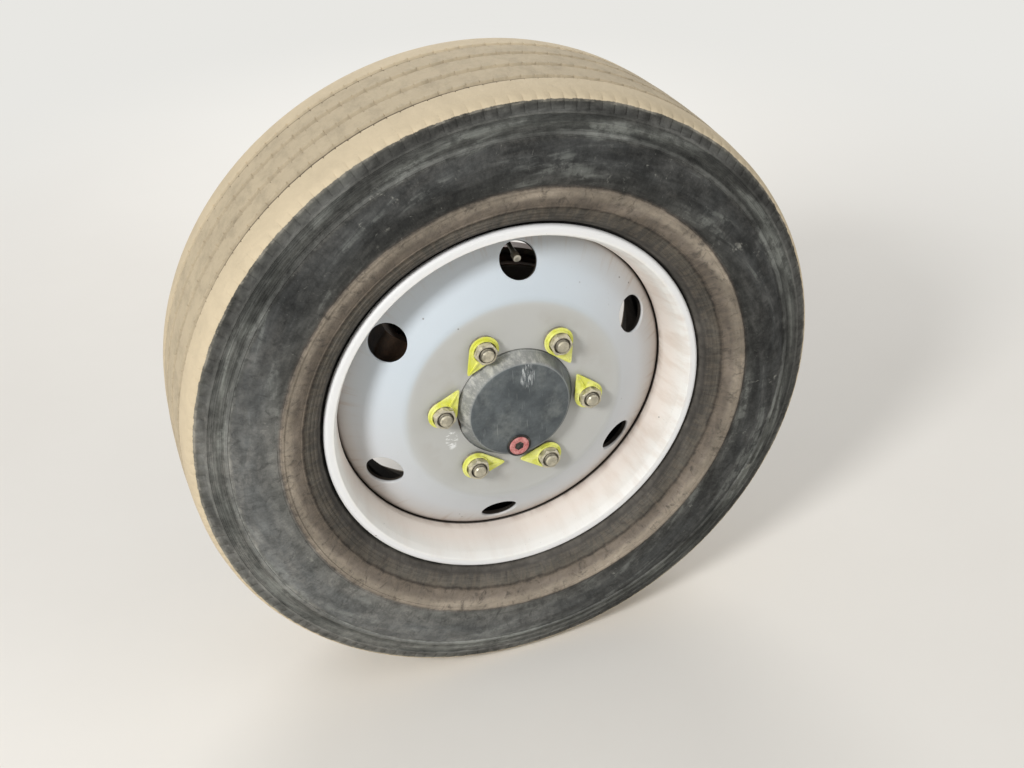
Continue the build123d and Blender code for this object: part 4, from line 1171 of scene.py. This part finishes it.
def make_tyre():
    angles = [(pitch + share) * 360 / PITCH_COUNT for pitch in range(PITCH_COUNT) for share in COLUMNS]
    rings = []
    for station, radius, kind, (out_w, out_r) in tyre_rows():
        ring = []
        for i, angle in enumerate(angles):
            w, r, lift = station, radius, 0
            cut_here = i % len(COLUMNS) == 1
            if kind == "side":
                lift = ring_height(radius) + band_height(radius, angle)
                if cut_here and TICK_R[0] < radius < TICK_R[3]:
                    lift -= TICK_DEPTH
            elif cut_here:
                r -= CUT_DEPTHS.get(kind, 0)
            w += ZIGZAG[i // 2 % 4] * SWING.get(kind, 0)
            ring.append(at(w + out_w * lift, r + out_r * lift, angle))
        rings.append(ring)
    shape = Shape()
    shape.rings(rings, round_rows=True)
    shape.piece("tyre_body", RUBBER, "tyre", ["tyre"], sharp=38)


# Rim and disc

# Outlines: station, radius, corner rounding. The rim's second half is its underside.
RIM_ROWS = (
    (OUTER_W, FLANGE_R, 5.6),
    (95.25, FLANGE_R, 5.6),
    (95.25, SEAT_R, 5),
    (56.62, LEDGE_R, 20),
    (20, LEDGE_R, 7),
    (6, WELL_R, 7),
    (-30, WELL_R, 8),
    (-56.62, LEDGE_R, 14),
    (-95.25, SEAT_R, 5),
    (-95.25, FLANGE_R, 5.6),
    (-OUTER_W, FLANGE_R, 5.6),
    (-OUTER_W, SEAT_R, 2),
    (-96.25, 242.35, 10),
    (-58.62, 232, 14),
    (-32, 215.7, 8),
    (9, 215.7, 7),
    (23, 232, 7),
    (56.62, 232, 20),
    (96.25, 242.35, 10),
    (OUTER_W, SEAT_R, 2),
)
DISC_ROWS = (
    (PLATEAU_W, 80.6, 1),
    (PLATEAU_W, PLATEAU_R, 30),
    (CONE_W, CONE_R, 120),
    (41, 231.2, 7),
    (WELD_W, 231.2, 1),
    (WELD_W, 224, 1),
    (35, 224, 8),
    (58.2, 191.5, 100),
    (77, 146, 20),
    (77, 80.6, 1),
)
# Half the length of a vent's cutter
CUTTER_REACH = 30
# Rounded edge of a vent: distance from its wall, depth under the disc's face
LIP_ROWS = ((VENT_LIP + 0.25, 0.02), (VENT_LIP * 0.55, 0.16), (VENT_LIP * 0.2, 0.55), (0, 1.4))


def make_rim():
    shape = Shape()
    shape.lathe(rounded(RIM_ROWS, turn_step=9), RIM_SEGMENTS)
    shape.piece("rim_shell", RIM_PAINT, "wheel_paint", ["rim"], sharp=50)


def make_weld():
    """Rippled weld between the disc's edge and the rim."""
    angles = even_angles(WELD_RIPPLES * 3)
    rings = []
    for k in range(6):
        turn = math.radians(90 * k / 5)
        ring = []
        for i, angle in enumerate(angles):
            uneven = 0.5 * math.sin(2 * math.pi * i / 3) + 0.35 * math.sin(math.radians(angle * 23))
            swell = WELD_SIZE + uneven
            ring.append(at(WELD_W - swell * math.cos(turn), WELD_R - swell * math.sin(turn) * 0.9, angle))
        rings.append(ring)
    rings.append([at(WELD_W + 1, WELD_R + 1, angle) for angle in angles])
    shape = Shape()
    shape.rings(rings, round_rows=True)
    shape.piece("disc_weld", RIM_PAINT, "wheel_paint", sharp=60)


def outline_station(points, radius):
    """Station of an outline at a radius, from points sorted by falling station."""
    for here, there in zip(points, points[1:]):
        low, high = sorted((here.y, there.y))
        if low <= radius <= high and high > low:
            return here.lerp(there, (radius - here.y) / (there.y - here.y)).x
    return points[-1].x


def vent_frame(angle):
    """Centre, outward normal and the two in-plane directions of a vent, as metres and unit vectors."""
    turn = math.radians(angle)
    tilt = math.radians(VENT_TILT)
    normal = Vector((math.sin(tilt) * math.cos(turn), -math.cos(tilt), math.sin(tilt) * math.sin(turn)))
    around = sideways(angle)
    return at(CONE_W, CONE_R, angle), normal, around, normal.cross(around)


def slide(point, normal, profile, offset):
    """Moves a point along a vent's axis to the disc's profile, less an offset in millimetres."""
    low, high = -CUTTER_REACH * MM, CUTTER_REACH * MM
    for _ in range(24):
        middle = (low + high) / 2
        probe = point + normal * middle
        radius = math.hypot(probe.x, probe.z) / MM
        if (WHEEL_CENTRE.y - probe.y) / MM < outline_station(profile, radius):
            low = middle
        else:
            high = middle
    return point + normal * (low + offset * MM)


def cut(obj, cutters):
    """Cuts closed meshes out of an object and removes them."""
    for cutter in cutters:
        modifier = obj.modifiers.new("cut", "BOOLEAN")
        modifier.operation = "DIFFERENCE"
        modifier.solver = "EXACT"
        modifier.object = cutter
    bpy.context.view_layer.update()
    view = obj.evaluated_get(bpy.context.evaluated_depsgraph_get())
    mesh = bpy.data.meshes.new_from_object(view)
    obj.modifiers.clear()
    obj.data = mesh
    for cutter in cutters:
        bpy.data.objects.remove(cutter)


def make_disc():
    outline = rounded(DISC_ROWS, turn_step=3)
    shape = Shape()
    shape.lathe(outline, RIM_SEGMENTS)
    disc = shape.object("disc_face")
    vents = [vent_frame(VENT_PHASE + i * 360 / VENT_COUNT) for i in range(VENT_COUNT)]
    cutters = []
    for centre, normal, around, _ in vents:
        tool = Shape()
        rows = [(-CUTTER_REACH, VENT_RADIUS + VENT_LIP), (CUTTER_REACH, VENT_RADIUS + VENT_LIP)]
        tool.turned(centre, normal, rows, sides=VENT_SIDES, across=around)
        cutters.append(tool.object("vent_cutter"))
    cut(disc, cutters)
    face_out(disc.data)
    settle(disc, DISC_PAINT, "wheel", ["wheel_disc"], sharp=40)

    front = outline[:len(outline) // 2]
    back = outline[len(outline) // 2:][::-1]
    rows = [(widen, front, -depth) for widen, depth in LIP_ROWS]
    rows += [(widen, back, depth) for widen, depth in LIP_ROWS[::-1]]
    lips = Shape()
    for centre, normal, around, other in vents:
        rings = []
        for widen, profile, offset in rows:
            ring = []
            for turn in even_turns(VENT_SIDES):
                away = around * math.cos(turn) + other * math.sin(turn)
                ring.append(slide(centre + away * ((VENT_RADIUS + widen) * MM), normal, profile, offset))
            rings.append(ring)
        lips.rings(rings)
    lips.piece("vent_lips", DISC_PAINT, "wheel_paint", sharp=50)


# Hub cap and plug

CAP_ROWS = (
    (CAP_SEAT_W, CAP_R, 0),
    (92.4, CAP_R, 1.2),
    (93.4, 78.6, 0.8),
    (108.6, 71, 2.5),
    (CAP_TOP_W, 66.5, 3),
    (CAP_TOP_W, 0.6, 0),
)
CAP_INSIDE = ((CAP_SEAT_W + 6, 0.6), (CAP_SEAT_W + 6, CAP_R - 6), (CAP_SEAT_W, CAP_R - 6))
# Boss, seal, plug and the bottom of its socket: height over the cap, radius
BOSS_ROWS = ((-9, 17), (-0.2, 16.6), (0.5, 16), (0.8, 15.2))
SEAL_ROWS = ((0.7, 16.9), (1.3, 16.7), (1.7, 16.1), (1.7, 13))
SOCKET = hexagon(12)
PLUG_ROWS = (
    (0.5, 13.6), (2.2, 13.6), (2.8, 13.2), (3, 12.6), (3, 7.9), (2.7, 7.4), (2.6, SOCKET), (0.9, SOCKET),
)
SOCKET_ROWS = ((0.95, 7), (1.05, 5.5), (1.05, 1))


def bell(distance, width):
    """1 in the middle, falling to both sides over the width."""
    return math.exp(-(distance / width) ** 2)


def make_hub_cap():
    """Cap with a knock in its edge and slight dents in its face, and the plug's boss."""
    angles = even_angles(CAP_SEGMENTS)
    rings = []
    for point in rounded(CAP_ROWS, closed=False, turn_step=12):
        ring = []
        for angle in angles:
            knock = KNOCK_DEPTH * bell((angle - KNOCK_ANGLE + 180) % 360 - 180, KNOCK_WIDTH)
            knock *= bell(point.y - KNOCK_R, KNOCK_WIDTH)
            dent = DENT_DEPTH * math.sin(math.radians(angle * 3)) * bell(point.y - DENT_R, DENT_WIDTH)
            ring.append(at(point.x - dent, point.y - knock, angle))
        rings.append(ring)
    rings += [[at(station, radius, angle) for angle in angles] for station, radius in CAP_INSIDE]
    shape = Shape()
    shape.rings(rings, round_rows=True)
    shape.turned(at(CAP_TOP_W, PLUG_CIRCLE, PLUG_ANGLE), OUTBOARD, BOSS_ROWS, sides=64)
    shape.piece("hub_cap_shell", CAP_PAINT, "cap_paint", ["hub_cap"], sharp=45)


def make_plug():
    centre = at(CAP_TOP_W, PLUG_CIRCLE, PLUG_ANGLE)
    seal, plug, bottom = Shape(), Shape(), Shape()
    seal.turned(centre, OUTBOARD, SEAL_ROWS, sides=64)
    seal.piece("plug_seal", SEAL, "black_plastic")
    plug.turned(centre, OUTBOARD, PLUG_ROWS, sides=72, across=Vector((1, 0, 0.35)))
    plug.piece("plug_head", RED, "red_plastic", ["hub_cap_plug"], sharp=40)
    bottom.turned(centre, OUTBOARD, SOCKET_ROWS, sides=36)
    bottom.piece("plug_socket", SEAL, "black_plastic")


# Studs, nuts and pointers

STUD_ANGLES = [STUD_PHASE + i * 360 / STUD_COUNT for i in range(STUD_COUNT)]


def make_studs():
    """Threaded ends of the studs and the flanges at their feet."""
    shape = Shape()
    foot = [
        (STUD_FOOT_W, 12.8), (STUD_FOOT_W + 1, 13.8), (STUD_SEAT_W - 0.4, 14), (STUD_SEAT_W, 13.6),
    ]
    rows = [(STUD_SEAT_W - 1, STUD_R - 0.4)]
    station = NUT_W[2] - 3
    while station < STUD_TIP_W - 2.2:
        rows += [
            (station, STUD_R - 1.05),
            (station + THREAD_PITCH * 0.42, STUD_R),
            (station + THREAD_PITCH * 0.58, STUD_R),
        ]
        station += THREAD_PITCH
    rows += [(STUD_TIP_W - 1.4, STUD_R - 1), (STUD_TIP_W, STUD_R - 2.2)]
    for angle in STUD_ANGLES:
        origin = at(0, STUD_CIRCLE, angle)
        shape.turned(origin, OUTBOARD, foot, sides=40)
        shape.turned(origin, OUTBOARD, rows, sides=40)
    shape.piece("studs", WHEEL_ZINC, "zinc_steel", ["wheel_studs"], sharp=35)


def make_nuts():
    """Nuts with round collars, each turned a little differently."""
    shape = Shape()
    base_w, collar_w, top_w = NUT_W
    collar = [
        (base_w, 18.6), (base_w + 0.8, 19), (collar_w - 1.4, 18.8), (collar_w - 0.6, 18.2), (collar_w, 16),
    ]
    nut = hexagon_rows(NUT_FLATS, collar_w - 0.3, top_w) + [(top_w, 11.6), (top_w - 1.6, STUD_R + 0.2)]
    for i, angle in enumerate(STUD_ANGLES):
        origin = at(0, STUD_CIRCLE, angle)
        shape.turned(origin, OUTBOARD, collar, sides=64)
        shape.turned(origin, OUTBOARD, nut, sides=72, across=spoke(angle + NUT_TWIST * i * i))
    shape.piece("nuts", WHEEL_ZINC, "zinc_steel", ["wheel_nuts"], sharp=28)


# Least radius of a pointer's plate and how much of its tip is cut off
POINTER_CORE_R = 16.6
POINTER_CUT = 2
# Edge of a pointer's plate: height, inset. Rib to its tip: share of the way, half width, height.
POINTER_EDGE = ((0, 0.9), (0.5, 0.2), (1.9, 0), (2.5, 0.6), (2.6, 1.2), (2.6, 3.4))
POINTER_RIB = ((0, 1.6, 3.2), (0.5, 1.3, 2.2), (1, 0.5, 0.4))


def pointer_outline(inset):
    """Radius of a pointer's plate by the angle from its tip: a circle drawn out to a tip, less an inset."""
    spread = math.acos(POINTER_R / POINTER_REACH)

    def reach(turn):
        off = abs((turn + math.pi) % (2 * math.pi) - math.pi)
        if off >= spread:
            return POINTER_R
        return min(POINTER_R / math.cos(spread - off), POINTER_REACH - POINTER_CUT)

    return lambda turn: max(reach(turn) - inset, POINTER_CORE_R)


def make_pointers():
    """Loose-nut pointers: a plate drawn out to a tip, a collar round the hexagon and a rib to the tip."""
    hole = NUT_FLATS / 2
    wall = hole + 2.6
    rows = [
        (0.25, hole + 1),
        (0, hole + 2),
        *[(height, pointer_outline(inset)) for height, inset in POINTER_EDGE],
        (3.2, wall + 0.9),
        (5.4, wall + 0.5),
        (6, wall),
        (6, wall - 0.7),
        (5.4, wall - 1.2),
        (0.6, hole + 1.3),
    ]
    shape = Shape()
    for i, angle in enumerate(STUD_ANGLES):
        sign = 1 if i % 2 else -1
        across = spoke(angle + sign * (90 + 180 / STUD_COUNT))
        origin = at(NUT_W[1], STUD_CIRCLE, angle)
        shape.turned(origin, OUTBOARD, rows, sides=120, across=across, caps=(False, False))
        middle = origin + OUTBOARD * (2.5 * MM)
        start = middle + across * (wall * MM)
        end = middle + across * ((POINTER_REACH - 5) * MM)
        side = across.cross(OUTBOARD)
        rib = []
        for share, half, lift in POINTER_RIB:
            centre = start.lerp(end, share)
            top = OUTBOARD * (lift * MM)
            rib.append([
                centre + side * (half * MM),
                centre + side * (half * 0.6 * MM) + top,
                centre - side * (half * 0.6 * MM) + top,
                centre - side * (half * MM),
            ])
        shape.rings(rib, start_cap=True, end_cap=True)
    shape.piece("pointers", YELLOW, "pointer_plastic", ["nut_pointers"], sharp=40)


# Valve

# Foot and cap along the stem: height, radius. The cap is knurled between these heights.
VALVE_FOOT = ((0, 8), (1.2, 8), (2.2, 7), (3, 6))
VALVE_CAP = ((-17, 3.6), (-16, 4.1), (-12, 4.1), (-11.8, 5), (-1.2, 5.2), (-0.4, 4.8), (0, 4))
KNURL = (-12, -0.5)


def knurled(radius):
    """Radius of the cap with its grip round it."""
    return lambda turn: radius + 0.2 * math.cos(24 * turn)


def make_valve():
    """Metal valve, bent in the well and reaching to the top vent, with a foot, nut and cap."""
    points = [at(w, r, VALVE_ANGLE) for w, r in rounded(VALVE_ROUTE, closed=False)]
    across = sideways(VALVE_ANGLE)
    rings = []
    for i, point in enumerate(points):
        along = (points[min(i + 1, len(points) - 1)] - points[max(i - 1, 0)]).normalized()
        other = along.cross(across)
        rings.append([
            point + across * (VALVE_R * MM * math.cos(t)) + other * (VALVE_R * MM * math.sin(t))
            for t in even_turns(24)
        ])
    shape = Shape()
    shape.rings(rings, start_cap=True, end_cap=True)
    foot_axis = (points[1] - points[0]).normalized()
    shape.turned(points[0], foot_axis, VALVE_FOOT)
    shape.turned(points[0], foot_axis, hexagon_rows(12, 2.6, 7.2), sides=48)
    low, high = KNURL
    cap = [(height, knurled(radius) if low < height < high else radius) for height, radius in VALVE_CAP]
    shape.turned(points[-1], (points[-1] - points[-2]).normalized(), cap, sides=96)
    shape.piece("valve_stem", VALVE_METAL, "valve_brass", ["valve"], sharp=40)


# Fasteners behind the wheel

# Heights along the kingpin of the cover's and the steering arm's bolts, and their circle's radius
COVER_TOP = 87.4
ARM_LOW = -118.3
KINGPIN_BOLTS_R = 21
# The brake's carrier points this way. Its bolts and the calliper's pins stand to both sides.
BRAKE_ANGLE = 165
CARRIER_ANGLES = (-24, -8, 8, 24)
CARRIER_BOLT_R = 84.5
CARRIER_BOLT_W = -70
PIN_ANGLES = (-31, 31)
PIN_R = 150
PIN_BOLT_W = -97.3
BOOT_W = -70.5
# Bolts: across flats, height, washer's radius
COVER_BOLT = (13, 6, 9)
ARM_BOLT = (16, 9, 12)
CARRIER_BOLT = (19, 10, 14)
PIN_BOLT = (19, 12, 12.5)
KEY_NUT_PLACE = Vector((0.041, KINGPIN_CENTRE.y + 0.018, 0))


def bolt(shape, origin, axis, flats, height, washer):
    """A hexagon head with a washer under it."""
    start = 2
    shape.turned(origin, axis, [(-0.5, washer), (1.6, washer), (start, washer - 0.4)], sides=40)
    rows = hexagon_rows(flats, start - 0.2, start + height)
    shape.turned(origin, axis, rows + [(start + height, flats / 2 * 0.9)], sides=48)


def kingpin_point(x, y, z):
    """Point in metres from millimetres across, inboard and up along the kingpin."""
    inboard = KINGPIN_UP.cross(FORWARD)
    return KINGPIN_CENTRE + FORWARD * (x * MM) + inboard * (y * MM) + KINGPIN_UP * (z * MM)


def make_bolts():
    """Bolts of the kingpin cover, steering arm, brake carrier and calliper."""
    bolts = Shape()
    for k in range(4):
        turn = math.radians(45 + 90 * k)
        x, y = KINGPIN_BOLTS_R * math.cos(turn), KINGPIN_BOLTS_R * math.sin(turn)
        bolt(bolts, kingpin_point(x, y, COVER_TOP), KINGPIN_UP, *COVER_BOLT)
        bolt(bolts, kingpin_point(x, y, ARM_LOW), -KINGPIN_UP, *ARM_BOLT)
    for off in CARRIER_ANGLES:
        bolt(bolts, at(CARRIER_BOLT_W, CARRIER_BOLT_R, BRAKE_ANGLE + off), INBOARD, *CARRIER_BOLT)
    for off in PIN_ANGLES:
        bolt(bolts, at(PIN_BOLT_W, PIN_R, BRAKE_ANGLE + off), INBOARD, *PIN_BOLT)
    bolts.piece("knuckle_bolts", BOLT_ZINC, "steel", body="knuckle")


def make_boots():
    """Folded rubber boots over the calliper's pins."""
    boots = Shape()
    rows = [(BOOT_W, 9), (BOOT_W, 12)]
    for k in range(5):
        station = BOOT_W - 1 - 2.3 * k
        rows += [(station, 14), (station - 1.15, 11.6)]
    rows += [(-82.6, 12.5), (-82.8, 9)]
    for off in PIN_ANGLES:
        boots.turned(at(0, PIN_R, BRAKE_ANGLE + off), INBOARD, [(-w, r) for w, r in rows], sides=40)
    boots.piece("guide_boots", SEAL, "black_plastic", body="knuckle")


def make_key_nut():
    shape = Shape()
    shape.turned(KEY_NUT_PLACE, FORWARD, hexagon_rows(17, -2, 7) + [(7, 6.2)], sides=48)
    shape.piece("key_nut", BOLT_ZINC, "steel", body="axle_end")


# Materials of the nodes that show as the CAD has them
NODE_MATERIALS = (
    (CHASSIS, ("axle_end", "knuckle", "kingpin_cap", "steering_arm")),
    (CASTING, ("brake_carrier", "brake_calliper", "hub")),
    (STEEL, ("kingpin", "kingpin_key", "thrust_bearing", "wheel_bearings", "spindle_nut", "tone_ring")),
    (STEEL, ("calliper_pins", "steer_stop")),
    (ROTOR, ("brake_disc",)),
    (LINING, ("brake_pads",)),
    (SHIELD, ("dust_shield",)),
    (PLASTIC, ("speed_sensor",)),
)


def dress_nodes():
    for material, nodes in NODE_MATERIALS:
        for node in nodes:
            obj = frame["nodes"][node]
            if not obj.material_slots:
                obj.data.materials.append(material)
            for place in obj.material_slots:
                place.material = material


make_camera()
make_floor()
make_world()
make_lights()
bpy.context.scene.view_settings.view_transform = "Standard"
make_tyre()
make_rim()
make_weld()
make_disc()
make_hub_cap()
make_plug()
make_studs()
make_nuts()
make_pointers()
make_valve()
make_bolts()
make_boots()
make_key_nut()
dress_nodes()
